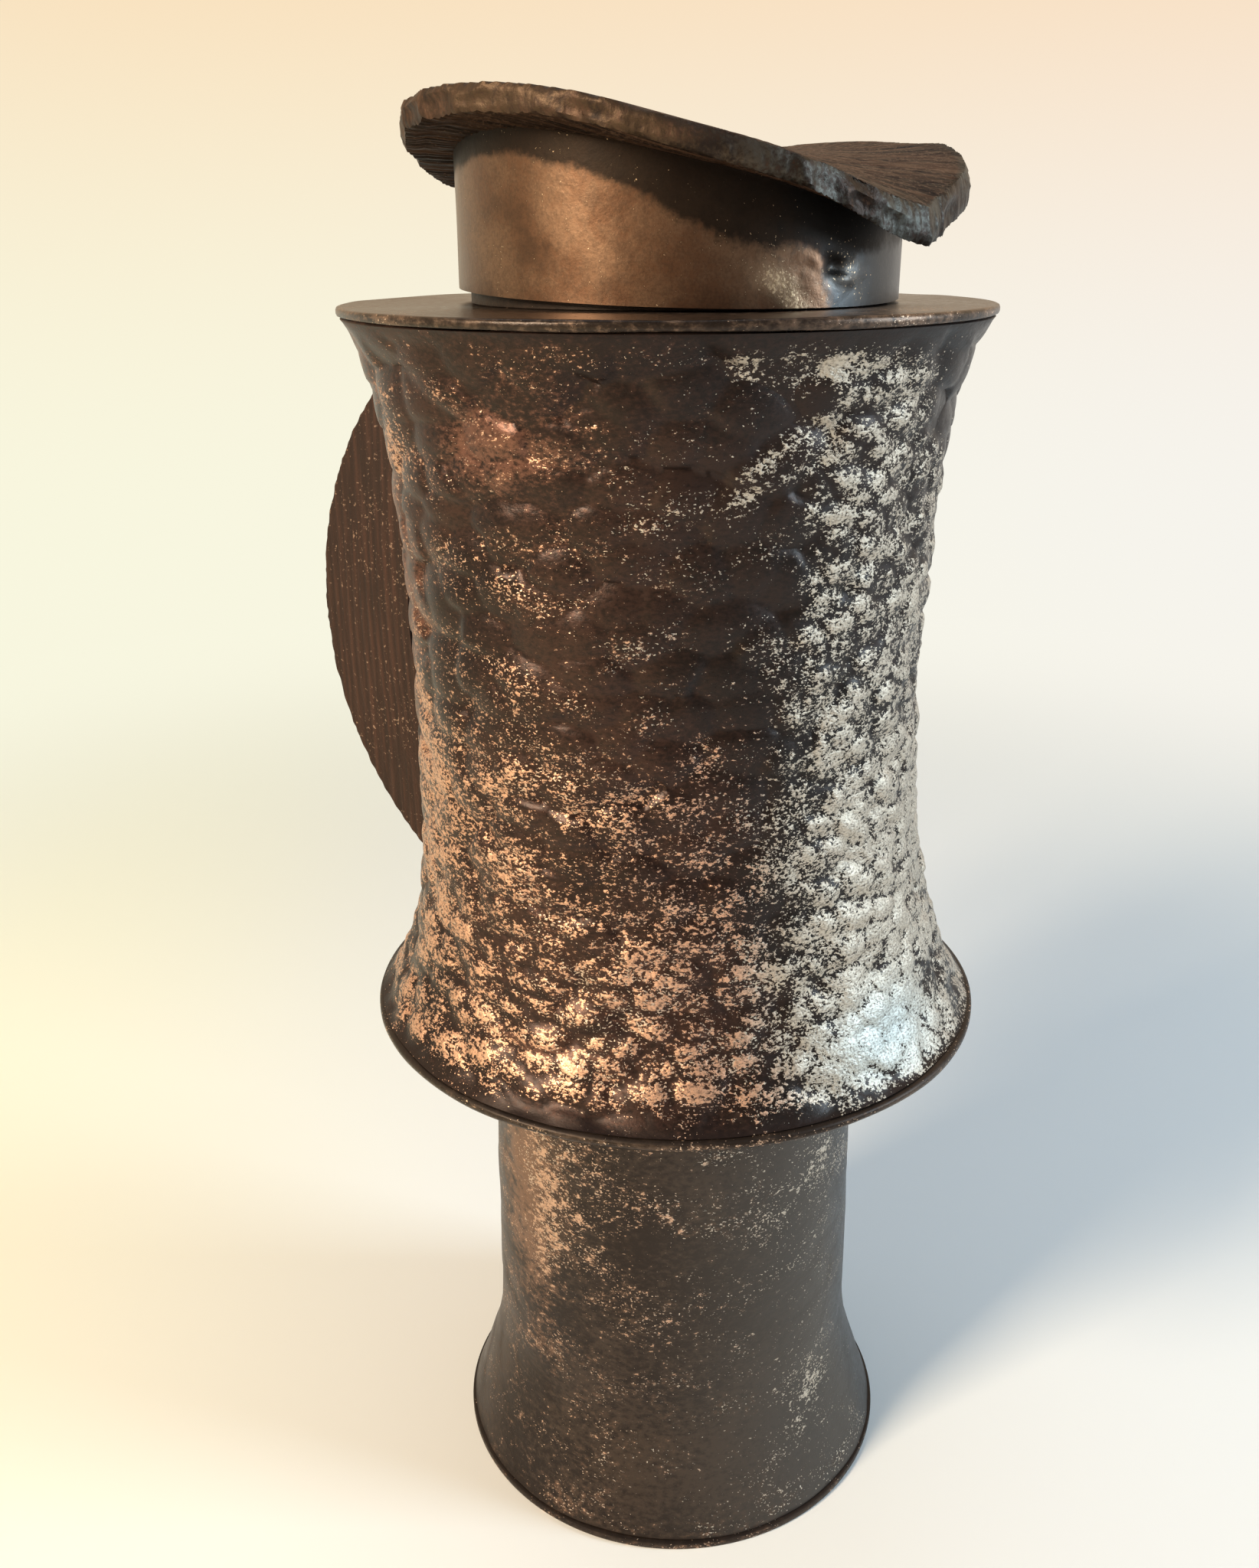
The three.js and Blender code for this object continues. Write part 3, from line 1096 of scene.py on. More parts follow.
@dataclass
class Foot:
    """The trumpet foot and its base disc."""

    wall_step: float = 1.2 * MM
    wall_turns: int = 300
    disc_turns: int = 240
    bevel: float = 0.3 * MM
    base_seam: float = 0.6 * MM
    blows: HammerBlows = HammerBlows(
        seed=11,
        width=9 * MM,
        height=7 * MM,
        depth=0.05 * MM,
        tilt=0.16 * MM,
        crown=0.10 * MM,
        softness=0.11,
    )
    rubs: Sequence[Rub] = (
        Rub(-44, 0.64, 9, 0.16, 1.3),
        Rub(-50, 0.88, 13, 0.14, 1.0),
        Rub(-26, 0.68, 14, 0.12, 0.35),
        Rub(-3, 0.70, 1.2, 0.012, 2.0),
        Rub(43, 0.2, 13, 0.08, 1.25, 0.006),
        Rub(27, 0.67, 9, 0.02, 0.8, 0.006),
        Rub(40, 0.70, 9, 0.02, 0.9, 0.006),
        Rub(53, 0.76, 9, 0.03, 0.9, 0.006),
        Rub(38, 0.86, 12, 0.02, 0.7, 0.006),
        Rub(-44, 0.16, 2.0, 0.06, 0.9),
        Rub(-34, 0.17, 1.5, 0.07, 0.8),
        Rub(-22, 0.16, 2.0, 0.06, 0.9),
        Rub(-6, 0.43, 14, 0.06, 0.4, 0.004),
    )
    # Painted sheens: reflections of the warm lamp laid into the colour on the foot's left side.
    painted_sheens: Sequence[Rub] = (Rub(-52, 0.62, 15, 0.26, 1.1), Rub(-58, 0.9, 18, 0.2, 1.0))

    def build(self) -> None:
        """Makes and dresses both pieces."""
        material = FOOT_FINISH.material()
        dress(self.wall(), material, Body.JUG, "foot_wall")
        dress(self.base(), material, Body.JUG, "foot_base")

    def wall(self) -> Work:
        """Makes the foot's wall.

        Returns:
            The wall, planished and slightly uneven.
        """
        solid = Solid("foot_wall")
        outline = wall_outline(solid, self.wall_step, self.bevel)
        piece = Work.spin("trumpet_foot", outline, self.wall_turns)
        points = piece.points()
        relief, crease = self.blows.strike(points, solid.bore())
        points += piece.normals() * relief[:, None]
        piece.place(points)
        piece.roughen(lump=34 * MM, height=0.7 * MM)
        rise, turn = solid.rise(points), facing(points)
        back = ease(90, 130, np.abs(turn))
        wear = 0.22 * ease(0.1, 0.5, rise) + 0.2 * ease(0.6, 0.95, rise) + 0.3 * back
        wear += rubbed(self.rubs, turn, rise)
        # Painted sheen on the foot's left.
        piece.mark(Mark.PAINTED_SHEEN, rubbed(self.painted_sheens, turn, rise))
        piece.mark(Mark.WEAR, wear)
        # Ash together with painted cool light on the right side.
        piece.mark(Mark.ASH_AND_COOL_LIGHT, ease(-20, 50, turn) * ease(170, 130, turn))
        seam = ease(0.975, 1.0, rise) + ease(0.012, 0.0, rise)
        piece.mark(Mark.CREASE, np.clip(crease * 0.3 + seam, 0, 1))
        piece.smooth(SHEET_EDGE)
        return piece

    def base(self) -> Work:
        """Makes the base disc with its vent.

        Returns:
            The disc.
        """
        solid = Solid("foot_base")
        outline = disc_outline(solid, rings=22, bevel=0.4 * MM)
        piece = Work.spin("base_disc", outline, self.disc_turns)
        hole = solid.points[from_axis(solid.points) < solid.radius() / 2]
        vent = hole.mean(axis=0)
        piece.drill(Vector(vent), float(from_axis(hole - vent).max()))
        height, top = piece.points()[:, 2], solid.high[2]
        piece.mark(Mark.WEAR, np.full(len(height), 0.1))
        piece.mark(Mark.CREASE, ease(top - self.base_seam, top, height))
        piece.smooth(SHEET_EDGE)
        return piece


@dataclass(frozen=True)
class Zones:
    """Where each point of the body's wall lies, and its share in each zone of the wall."""

    turn: Array
    rise: Array
    skirt: Array
    right: Array
    back: Array
    patchy: Array


@dataclass
class Vessel:
    """The hammered body with its floor, shoulder plate and neck."""

    wall_step: float = 0.7 * MM
    wall_turns: int = 440
    disc_turns: int = 320
    bevel: float = 0.3 * MM
    lean: float = 2.0 * MM
    crest: float = 0.25 * MM
    floor_rim: float = 1.2 * MM
    floor_seam: float = 0.7 * MM
    shoulder_rim: float = 1.3 * MM
    shoulder_slack: float = 4 * MM
    collar_seam: float = 2 * MM
    broad: HammerBlows = HammerBlows(
        seed=3,
        width=8.4 * MM,
        height=5.8 * MM,
        depth=0.15 * MM,
        tilt=0.95 * MM,
        crown=1.4 * MM,
        softness=0.045,
    )
    close: HammerBlows = HammerBlows(
        seed=8,
        width=6.2 * MM,
        height=3.6 * MM,
        depth=0.14 * MM,
        tilt=0.38 * MM,
        crown=0.8 * MM,
        softness=0.06,
    )
    rubs: Sequence[Rub] = (
        Rub(11.6, 0.962, 4.5, 0.009, 1.4),
        Rub(26.8, 0.96, 4.5, 0.013, 1.2, 0.001),
        Rub(19, 0.972, 3, 0.012, 0.9),
        Rub(15.5, 0.852, 5, 0.012, 1.4, 0.003),
        Rub(16.4, 0.827, 7, 0.011, 1.1, 0.002),
        Rub(24, 0.89, 6, 0.018, 1.1, 0.003),
        Rub(-24, 0.86, 2.5, 0.03, 0.5, -0.004),
        Rub(-20, 0.42, 3, 0.015, 0.4),
        Rub(6.8, 0.435, 6, 0.012, 0.5),
        Rub(-27, 0.08, 12, 0.02, 0.45),
        Rub(41, 0.08, 16, 0.05, 0.6),
        Rub(30, 0.04, 12, 0.02, 0.5),
        Rub(-66, 0.84, 9, 0.1, 0.8),
        Rub(-72, 0.5, 9, 0.12, 0.7),
        # Less wear, so darker patina: painted shade along the far right edge; the next one darkens
        # a strip along the bottom on the right.
        Rub(70, 0.06, 10, 0.1, -0.7),
        Rub(48, 0.014, 16, 0.014, -0.35),
    )
    # Painted sheens: highlights and reflections of the lamps laid into the colour, such as the
    # reddish patch high on the left, the left edge, a gold streak low on the left and a cool
    # highlight low on the right.
    painted_sheens: Sequence[Rub] = (
        Rub(-27, 0.865, 9, 0.075, 0.7),
        Rub(-39, 0.86, 9, 0.05, 0.7),
        Rub(-27, 0.085, 13, 0.014, 1.1),
        Rub(43, 0.068, 14, 0.055, 1.0),
        Rub(-75, 0.6, 17, 0.5, 0.95),
        Rub(-40, 0.3, 20, 0.12, 0.35),
    )

    def sway(self, points: Array) -> Array:
        """How far the hand-raised body leans aside at each point.

        Args:
            points: Places on the body.

        Returns:
            A move for each point, in metres.
        """
        rise = Solid("body_wall").rise(points)
        return -self.lean * ease(0.0, 0.55, rise)[:, None] * VIEW_RIGHT

    def build(self) -> None:
        """Makes and dresses the four pieces."""
        disc = DISC_FINISH.material()
        dress(self.wall(), HAMMERED_FINISH.material(), Body.JUG, "body_wall")
        dress(self.floor(), disc, Body.JUG, "body_floor")
        dress(self.shoulder(), disc, Body.JUG, "shoulder_plate")
        dress(self.neck(), disc, Body.JUG, "neck_collar")

    def wall(self) -> Work:
        """Makes the hammered wall.

        Returns:
            The wall with its blows, lean and wear.
        """
        solid = Solid("body_wall")
        outline = wall_outline(solid, self.wall_step, self.bevel)
        piece = Work.spin("hammered_wall", outline, self.wall_turns)
        points = piece.points()
        normals = piece.normals()
        outside = (normals * points * [1, 1, 0]).sum(axis=1) > 0
        zones = self.zones(solid, points)
        turn, rise = zones.turn, zones.rise
        relief, crease = self.relief(zones, points, solid.bore())
        relief *= ease(0.0, 0.018, rise) * ease(1.0, 0.96, rise) * outside
        points += normals * relief[:, None] + self.sway(points)
        piece.place(points)
        piece.roughen(lump=26 * MM, height=1.1 * MM)
        # Painted sheens of the lamps.
        piece.mark(Mark.PAINTED_SHEEN, rubbed(self.painted_sheens, turn, rise))
        piece.mark(Mark.WEAR, self.wear(zones, relief))
        seam = 0.6 * ease(0.028, 0.012, rise) * (1 - zones.right) + ease(0.012, 0.0, rise)
        seam += 0.7 * ease(0.988, 0.998, rise)
        piece.mark(Mark.CREASE, np.clip(crease + seam, 0, 1))
        # Ash together with painted cool light on the right side.
        ash_and_cool_light = np.maximum(ease(2, 30, turn), 0.8 * ease(-25, 20, turn) * ease(0.45, 0.62, rise))
        piece.mark(Mark.ASH_AND_COOL_LIGHT, ash_and_cool_light * ease(178, 100, turn))
        piece.smooth(BODY_EDGE)
        return piece

    def zones(self, solid: Solid, points: Array) -> Zones:
        """Divides the wall into its flared skirt, its rubbed right side and its back.

        Args:
            solid: The wall's solid.
            points: Places on the wall.

        Returns:
            The zones at each place.
        """
        turn, rise, height = facing(points), solid.rise(points), points[:, 2]
        ragged = turn + 4 * Grain(self.close.seed).at((turn + 180) / 5, height / (5 * MM), 72)
        edge = 100 - 40 * ease(0.72, 0.92, rise)
        right = ease(20, 29, ragged) * ease(edge, edge - 18, turn) * ease(0.985, 0.95, rise)
        patchy = Grain(self.broad.seed).at((turn + 180) / 30, height / (24 * MM), 12)
        return Zones(
            turn=turn,
            rise=rise,
            skirt=ease(0.42, 0.12, rise),
            right=right,
            back=ease(95, 130, np.abs(turn)),
            patchy=patchy,
        )

    def relief(self, zones: Zones, points: Array, girth: float) -> tuple[Array, Array]:
        """Mixes broad blows, close blows and crust, as each zone of the wall has them.

        Args:
            zones: The wall's zones at each place.
            points: Places on the wall.
            girth: Radius at which the blows have their width, in metres.

        Returns:
            The height of the relief in metres, and 0 on a facet rising to 1 in a crease.
        """
        broad, _ = self.broad.strike(points, girth)
        close, crease = self.close.strike(points, girth)
        worked = np.maximum(zones.right, zones.skirt)
        force = 1.0 - 0.5 * worked + 0.1 * zones.back + 0.2 * zones.patchy
        fine = 0.15 + 0.9 * worked + 0.2 * zones.back + 0.15 * zones.patchy
        crust = self.crust(zones.turn, points[:, 2])
        crust *= np.maximum(zones.right, 0.6 * zones.skirt)
        return force * broad + fine * close + crust, crease * fine

    def wear(self, zones: Zones, relief: Array) -> Array:
        """How far the patina is rubbed through.

        Args:
            zones: The wall's zones at each place.
            relief: Height of the hammer relief, in metres.

        Returns:
            The wear, about 0 on sound patina and 1 or more on bare metal.
        """
        turn, rise, skirt, right = zones.turn, zones.rise, zones.skirt, zones.right
        lift = np.clip(relief / self.crest, -1.5, 1.5)
        wear = 0.17 * ease(0.95, 0.52, rise) + 0.36 * ease(0.58, 0.38, rise) + 0.62 * skirt
        wear += zones.back * (0.3 + 0.4 * zones.patchy)
        wear += (1.3 + 0.65 * ease(0.52, 0.36, rise) * ease(28, 42, turn) - wear) * right
        wear += (1.25 - wear) * bell(turn, -58, 18) * ease(0.62, 0.3, rise)
        wear += 0.15 * bell(turn, -40, 25) * ease(0.3, 0.5, rise)
        wear += rubbed(self.rubs, turn, rise)
        wear += 0.2 * lift * (0.3 + np.maximum(skirt, right))
        wear -= 0.7 * ease(0.03, 0.01, rise) * (1 - 0.9 * right) + 0.4 * ease(0.98, 0.99, rise)
        return wear

    def crust(self, turn: Array, height: Array) -> Array:
        """Rough crust that the rubbed sides of the body carry.

        Args:
            turn: Angle round the body, in degrees.
            height: Height, in metres.

        Returns:
            The height of the crust at each place, in metres.
        """
        grain = Grain(self.close.seed)
        total = np.zeros(len(turn))
        for lumps, tall, deep in ((70, 3.0 * MM, 0.3 * MM), (150, 1.5 * MM, 0.16 * MM)):
            total += deep * grain.at((turn + 180) / 360 * lumps, height / tall, lumps)
        return total

    def floor(self) -> Work:
        """Makes the disc that closes the body.

        Returns:
            The disc with a slightly uneven rim.
        """
        solid = Solid("body_floor")
        outline = disc_outline(solid, rings=26, bevel=0.55 * MM)
        piece = Work.spin("body_floor_disc", outline, self.disc_turns)
        piece.roughen(lump=22 * MM, height=0.35 * MM)
        points = piece.points()
        rim = ease(solid.radius() - self.floor_rim, solid.radius(), from_axis(points))
        top = ease(solid.high[2] - self.floor_seam, solid.high[2] - 0.1 * MM, points[:, 2])
        piece.mark(Mark.WEAR, 0.45 * rim - 0.1)
        piece.mark(Mark.CREASE, top)
        piece.smooth(BODY_EDGE)
        return piece

    def shoulder(self) -> Work:
        """Makes the flat ring on top of the body.

        Returns:
            The ring, its rim leaning with the body and brightened by a painted sheen.
        """
        solid = Solid("shoulder_plate")
        outline = disc_outline(solid, rings=24, bevel=0.5 * MM)
        piece = Work.spin("shoulder_ring", outline, self.disc_turns)
        points = piece.points()
        reach = from_axis(points)
        collar = Solid("neck_collar").radius()
        held = ease(collar, solid.radius() - self.shoulder_slack, reach)
        points += self.sway(points) * held[:, None]
        piece.place(points)
        piece.roughen(lump=20 * MM, height=0.3 * MM)
        rim = ease(solid.radius() - self.shoulder_rim, solid.radius() - 0.2 * MM, reach)
        piece.mark(Mark.WEAR, 0.1 * rim - 0.1)
        # Painted sheen along the rim.
        piece.mark(Mark.PAINTED_SHEEN, 0.25 * rim)
        piece.mark(Mark.CREASE, ease(collar + self.collar_seam, collar, reach))
        piece.smooth(BODY_EDGE)
        return piece

    def neck(self) -> Work:
        """Makes the short collar under the lid.

        Returns:
            The collar, dark where it meets the shoulder.
        """
        solid = Solid("neck_collar")
        outline = wall_outline(solid, step=0.7 * MM, bevel=0.25 * MM)
        piece = Work.spin("neck_tube", outline, self.disc_turns)
        rise = solid.rise(piece.points())
        piece.mark(Mark.WEAR, 0.6 * ease(0.85, 1.0, rise))
        piece.mark(Mark.CREASE, ease(1.0, 0.6, rise))
        piece.smooth(SHEET_EDGE)
        return piece


@dataclass
class Handle:
    """The ribbed crescent plate at the side."""

    band: float = 26 * MM
    thickness: float = 4 * MM
    ribs: float = 2.1 * MM
    rib_depth: float = 0.22 * MM
    braze: float = 0.7 * MM
    seed: int = 21
    divisions: tuple[int, int, int] = (46, 260, 6)
    rounding: float = 4 * MM
    chip_depth: float = 0.2 * MM
    chip_length: float = 1.1 * MM
    dot_length: float = 0.9 * MM
    dot_stride: float = 7.3

    def build(self, vessel: Vessel) -> None:
        """Makes and dresses the plate.

        Args:
            vessel: The body that the plate is brazed to.
        """
        dress(self.plate(vessel), HANDLE_FINISH.material(), Body.JUG, "handle_plate")

    def plate(self, vessel: Vessel) -> Work:
        """Makes the crescent.

        Args:
            vessel: The body whose lean the horns follow.

        Returns:
            The crescent plate with ribs and a cut edge.
        """
        solid = Solid("handle_plate")
        flat = solid.points[:, [0, 2]]
        tips = [flat[flat[:, 1].argmin()], flat[flat[:, 1].argmax()]]
        middle, radius = circle_through(tips[0], flat[flat[:, 0].argmin()], tips[1])
        piece = Work.slab("crescent_handle", self.divisions)
        block = piece.points()
        across, along, layer = (block[:, 0] + 1) / 2, (block[:, 1] + 1) / 2, block[:, 2]
        first, last = (math.atan2(tip[1] - middle[1], middle[0] - tip[0]) for tip in tips)
        swing = first + (last - first) * along
        x = middle[0] - radius * np.cos(swing)
        z = middle[1] + radius * np.sin(swing)
        points = np.empty_like(block)
        points[:, 0] = x + (self.inner_edge(z, middle, radius) - x) * (1 - across)
        points[:, 1] = (layer - 0.5) * self.thickness
        points[:, 2] = z
        grain = Grain(self.seed)
        rim = (across > 1 - SKIN).astype(float)
        chips = self.chip_depth * grain.at(z / self.chip_length, layer * 3)
        points[:, 0] += rim * (chips + self.rounding * np.abs(layer - 0.5) ** 3)
        wave = points[:, 0] / self.ribs + 0.35 * grain.at(points[:, 0] / (6 * MM), z / (25 * MM))
        rib = np.cos(FULL_TURN * wave) * 0.5 + 0.5
        dots = grain.at(np.floor(wave) * self.dot_stride, z / self.dot_length) * 0.5 + 0.5
        face = ((layer < SKIN) | (layer > 1 - SKIN)).astype(float)
        crest = rib * (0.8 + 0.2 * dots) - 0.6
        points[:, 1] += np.sign(layer - 0.5) * face * self.rib_depth * crest
        reach = np.hypot(points[:, 0] - middle[0], z - middle[1])
        points += vessel.sway(points) * ease(radius, radius - self.band, reach)[:, None]
        piece.place(points)
        piece.mark(Mark.WEAR, rib * (dots * 1.4 - 0.6) * face)
        piece.mark(Mark.CREASE, (1 - rib) * face)
        piece.mark(Mark.RIM, rim)
        piece.weld()
        piece.face_out()
        piece.smooth(PLATE_EDGE)
        return piece

    def inner_edge(self, z: Array, middle: Array, radius: float) -> Array:
        """Where the plate ends towards the body, in its finger opening or brazed to the wall.

        Args:
            z: Heights up the plate.
            middle: Middle of the plate's outer arc.
            radius: Radius of the plate's outer arc.

        Returns:
            The place along X at each height.
        """
        root = self.braze - np.interp(z, *Solid("body_wall").profile(True))
        hollow = np.sqrt(np.maximum((radius - self.band) ** 2 - (z - middle[1]) ** 2, 0))
        return np.where(hollow > 0, np.minimum(root, middle[0] - hollow), root)


def circle_through(first: Array, second: Array, third: Array) -> tuple[Array, float]:
    """Circle through three points of a plane.

    Args:
        first: One point.
        second: Another point.
        third: The last point.

    Returns:
        The circle's middle and radius.
    """
    rows = 2 * np.array([second - first, third - first])
    sums = np.array([second @ second - first @ first, third @ third - first @ first])
    middle = np.linalg.solve(rows, sums)
    return middle, float(np.linalg.norm(first - middle))


@dataclass(frozen=True)
class RimSpot:
    """A place on the lid plate's rim, in degrees from its right end, and what happens there."""

    turn: float
    spread: float
    amount: float

    def at(self, turn: Array) -> Array:
        """How much of it reaches each place on the rim."""
        return self.amount * bell(turn, self.turn, self.spread)


class Sheet:
    """One smooth sheet, fitted to a face of the lid plate's solid."""

    POWERS = 9

    def __init__(self, points: Array, middle: Array, radius: float) -> None:
        """Fits the sheet to the face's points, about the plate's middle.

        Args:
            points: Points of the face.
            middle: The plate's middle.
            radius: The plate's radius, in metres.
        """
        self.middle = middle
        self.radius = radius
        self.weights = np.linalg.lstsq(self.terms(points), points[:, 2], rcond=None)[0]

    def terms(self, points: Array) -> Array:
        """Products of powers of each place on the plate, counted from its middle.

        Args:
            points: Places on the plate.

        Returns:
            A row of terms for each place.
        """
        x, y = ((points[:, :2] - self.middle) / self.radius).T
        pairs = [(i, j) for i in range(self.POWERS) for j in range(self.POWERS - i)]
        return np.stack([x**i * y**j for i, j in pairs], axis=1)

    def height(self, points: Array) -> Array:
        """Height of the sheet over each place."""
        return self.terms(points) @ self.weights

    def places(self, x: Array, y: Array) -> Array:
        """Places on the plate, from their distance along and across the plate's ribs.

        Args:
            x: Distance along the ribs, in metres.
            y: Distance across the ribs, in metres.

        Returns:
            The places, at height 0.
        """
        across = x * VIEW_RIGHT[0] - y * VIEW_RIGHT[1]
        along = x * VIEW_RIGHT[1] + y * VIEW_RIGHT[0]
        flat = [self.middle[0] + across, self.middle[1] + along, np.zeros_like(x)]
        return np.stack(flat, axis=1)

    def at(self, x: Array, y: Array) -> Array:
        """Height of the sheet, from the distance along and across the plate's ribs."""
        return self.height(self.places(x, y))


@dataclass
class Lid:
    """The twisted ribbed plate and the skirt that is scribed to it."""

    ribs: float = 4.0 * MM
    fine_ribs: float = 0.31
    rib_depth: float = 0.4 * MM
    scribe: float = 0.5 * MM
    divisions: tuple[int, int, int] = (64, 420, 9)
    upright: float = 0.6
    underside: float = 0.3
    burrs: Sequence[RimSpot] = (
        RimSpot(-38, 20, 1.2 * MM),
        RimSpot(-155, 18, 1.4 * MM),
        RimSpot(-8, 18, 1.8 * MM),
    )
    swells: Sequence[RimSpot] = (RimSpot(-155, 18, 2.0 * MM), RimSpot(12, 22, 1.6 * MM))
    curl: RimSpot = RimSpot(14, 10.5, 1.5 * MM)
    torn: RimSpot = RimSpot(-38, 14, 1.0)
    bend: tuple[float, float] = (2 * MM, 20 * MM)
    flat: float = math.radians(16)
    rounding: float = 0.35 * MM
    # Width, depth and added depth at the torn corner of each size of chisel cut, in mm.
    cuts: Sequence[tuple[float, float, float]] = (
        (6.5, 0.9, 0.0),
        (2.4, 0.2, 0.2),
        (1.1, 0.06, 0.3),
        (0.55, 0.1, 0.0),
    )
    # Rises on the skirt are in mm above its lower edge.
    patch: Rub = Rub(37, 5, 10, 4, 1.0)
    pit: Rub = Rub(37.5, 5.3, 2.6, 1.3, 0.9 * MM)
    lip: Rub = Rub(40, 3.7, 2.6, 0.8, 0.5 * MM)
    patch_depth: float = 0.18 * MM
    skirt_rows: int = 34
    inner_rows: int = 12
    skirt_turns: int = 300
    seed: int = 31

    def build(self) -> None:
        """Makes and dresses both pieces."""
        dress(self.plate(), LID_FINISH.material(), Body.LID, "lid_plate")
        dress(self.skirt(), SKIRT_FINISH.material(), Body.LID, "lid_skirt")

    def plate(self) -> Work:
        """Makes the twisted plate.

        Returns:
            The plate with ribbed faces and a chiselled rim.
        """
        solid = Solid("lid_plate")
        middle = (solid.low + solid.high)[:2] / 2
        radius = (solid.high - solid.low)[0] / 2
        under = Sheet(solid.on(solid.normals[:, 2] < -self.upright), middle, radius)
        over = Sheet(solid.on(solid.normals[:, 2] > self.upright), middle, radius)
        piece = Work.slab("twisted_plate", self.divisions)
        block = piece.points()
        row = block[:, 1] * math.pi / 2
        u, v, layer = block[:, 0] * np.cos(row), np.sin(row), block[:, 2]
        angle, share = np.arctan2(v, u), np.hypot(u, v)
        turn = np.degrees(angle)
        edge = ease(0.93, 1.0, share)
        size = radius + edge * self.trim(angle, layer, radius)
        x, y = u * size, v * size
        top, bottom = (layer > 1 - SKIN).astype(float), (layer < SKIN).astype(float)
        rib = self.rib(x, y + self.level(over, x, y) + self.underside * bottom)
        points = over.places(x, y)
        low, high = under.height(points), over.height(points)
        burr = edge * sum(spot.at(turn) for spot in self.burrs)
        points[:, 2] = low - burr + (high - low + burr) * layer
        points[:, 2] += self.curl.at(turn) * share**10
        points[:, 2] += self.rib_depth * (rib - 0.6) * (top - bottom)
        piece.place(points)
        piece.mark(Mark.WEAR, rib * (top + bottom) - 0.3)
        piece.mark(Mark.CREASE, (1 - rib) * (top + bottom) * 0.9)
        piece.mark(Mark.RIM, ease(0.988, 0.999, share))
        # Ash together with painted cool light at the plate's right end.
        piece.mark(Mark.ASH_AND_COOL_LIGHT, ease(-0.15, 0.5, u))
        piece.weld()
        piece.smooth(PLATE_EDGE)
        return piece

    def level(self, sheet: Sheet, x: Array, y: Array) -> Array:
        """How far the ribs shift across the plate to run level at its right end.

        Args:
            sheet: The plate's fitted upper side.
            x: Place along the ribs, in metres.
            y: Place across the ribs, in metres.

        Returns:
            The shift at each place, in metres.
        """
        end, none, reach = np.full_like(x, self.bend[1]), np.zeros_like(x), sheet.radius / 2
        slope = (sheet.at(end, none + reach) - sheet.at(end, none - reach)) / (2 * reach)
        level = (sheet.at(x, y) - sheet.at(end, none)) / slope
        return (level - y) * ease(*self.bend, x)

    def trim(self, angle: Array, layer: Array, radius: float) -> Array:
        """How far the plate's cut rim stands out from a true circle.

        Args:
            angle: Angle round the plate, 0 at its right.
            layer: Height in the rim, from 0 below to 1 above.
            radius: The plate's radius, in metres.

        Returns:
            The distance at each place, in metres.
        """
        grain = Grain(self.seed)
        turn = np.degrees(angle)
        torn = self.torn.at(turn)
        out = sum(spot.at(turn) for spot in self.swells)
        aside = np.minimum(np.radians(np.abs(turn - self.torn.turn)), 2 * self.flat)
        out += radius * (math.cos(self.flat) / np.cos(aside - self.flat) - 1)
        out -= self.rounding * np.abs(layer * 2 - 1) ** 4
        for width, cut, tear in self.cuts:
            cells = round(FULL_TURN * radius / (width * MM))
            walk = (angle / FULL_TURN + 0.5) * cells
            depth = (cut + tear * torn) * MM
            out -= depth * np.abs(grain.at(walk, layer * 1.4 + width, cells))
        return out

    def rib(self, x: Array, y: Array) -> Array:
        """Ribs along the plate's faces.

        Args:
            x: Place along the ribs, in metres.
            y: Place across the ribs, in metres.

        Returns:
            1 on a crest and 0 at the bottom of a groove.
        """
        grain = Grain(self.seed + 5)
        drift = 0.5 * grain.at(x / (30 * MM), y / (8 * MM))
        wobble = 0.12 * grain.at(x / (7 * MM) + 90, y / (2 * MM))
        jitter = 0.3 * grain.at(x / (11 * MM) + 40, y / MM)
        broad = y / self.ribs + drift + wobble
        fine = y / (self.ribs * self.fine_ribs) + 2 * drift + jitter
        deep = 0.5 + 0.5 * grain.at(x / (14 * MM), np.floor(broad) * 5.1)
        groove = tent(broad) ** 4 * deep
        lines = tent(fine) ** 2 * 0.65
        return np.clip(1 - np.maximum(groove, lines), 0, 1)

    def skirt(self) -> Work:
        """Makes the sheet tube under the plate.

        Returns:
            The skirt, cut at an angle below and scribed to the plate above.
        """
        solid = Solid("lid_skirt")
        low, high = solid.low[2], solid.high[2]
        up = [(solid.radius(), float(z)) for z in np.linspace(low, high, self.skirt_rows)]
        down = [(solid.bore(), float(z)) for z in np.linspace(high, low, self.inner_rows)]
        piece = Work.spin("scribed_skirt", up + down, self.skirt_turns)
        points = piece.points()
        angle = bearing(points)
        angles, lows, highs = solid.edges()
        foot = np.interp(angle, angles, lows, period=FULL_TURN)
        head = np.interp(angle, angles, highs, period=FULL_TURN) + self.scribe
        points[:, 2] = foot + (head - foot) * solid.rise(points)
        turn, rise = facing(points), (points[:, 2] - foot) / MM
        outside = from_axis(points) > (solid.radius() + solid.bore()) / 2
        patch = self.patch.at(turn, rise)
        grain = Grain(self.seed + 1).at(turn / 1.9, points[:, 2] / (1.1 * MM))
        relief = patch * self.patch_depth * grain
        relief += self.lip.at(turn, rise) - self.pit.at(turn, rise)
        points[:, :2] *= 1 + (relief * outside / solid.radius())[:, None]
        piece.place(points)
        piece.roughen(lump=24 * MM, height=0.35 * MM)
        # Heat stain together with painted shadow under the plate's edge, and a burnt patch by the
        # pit.
        piece.mark(Mark.CREASE, self.scorch_and_shadow(turn, rise, head - points[:, 2]))
        # Ash together with painted cool light on the skirt's right side.
        piece.mark(Mark.ASH_AND_COOL_LIGHT, ease(20, 50, turn + rise) * ease(150, 110, turn))
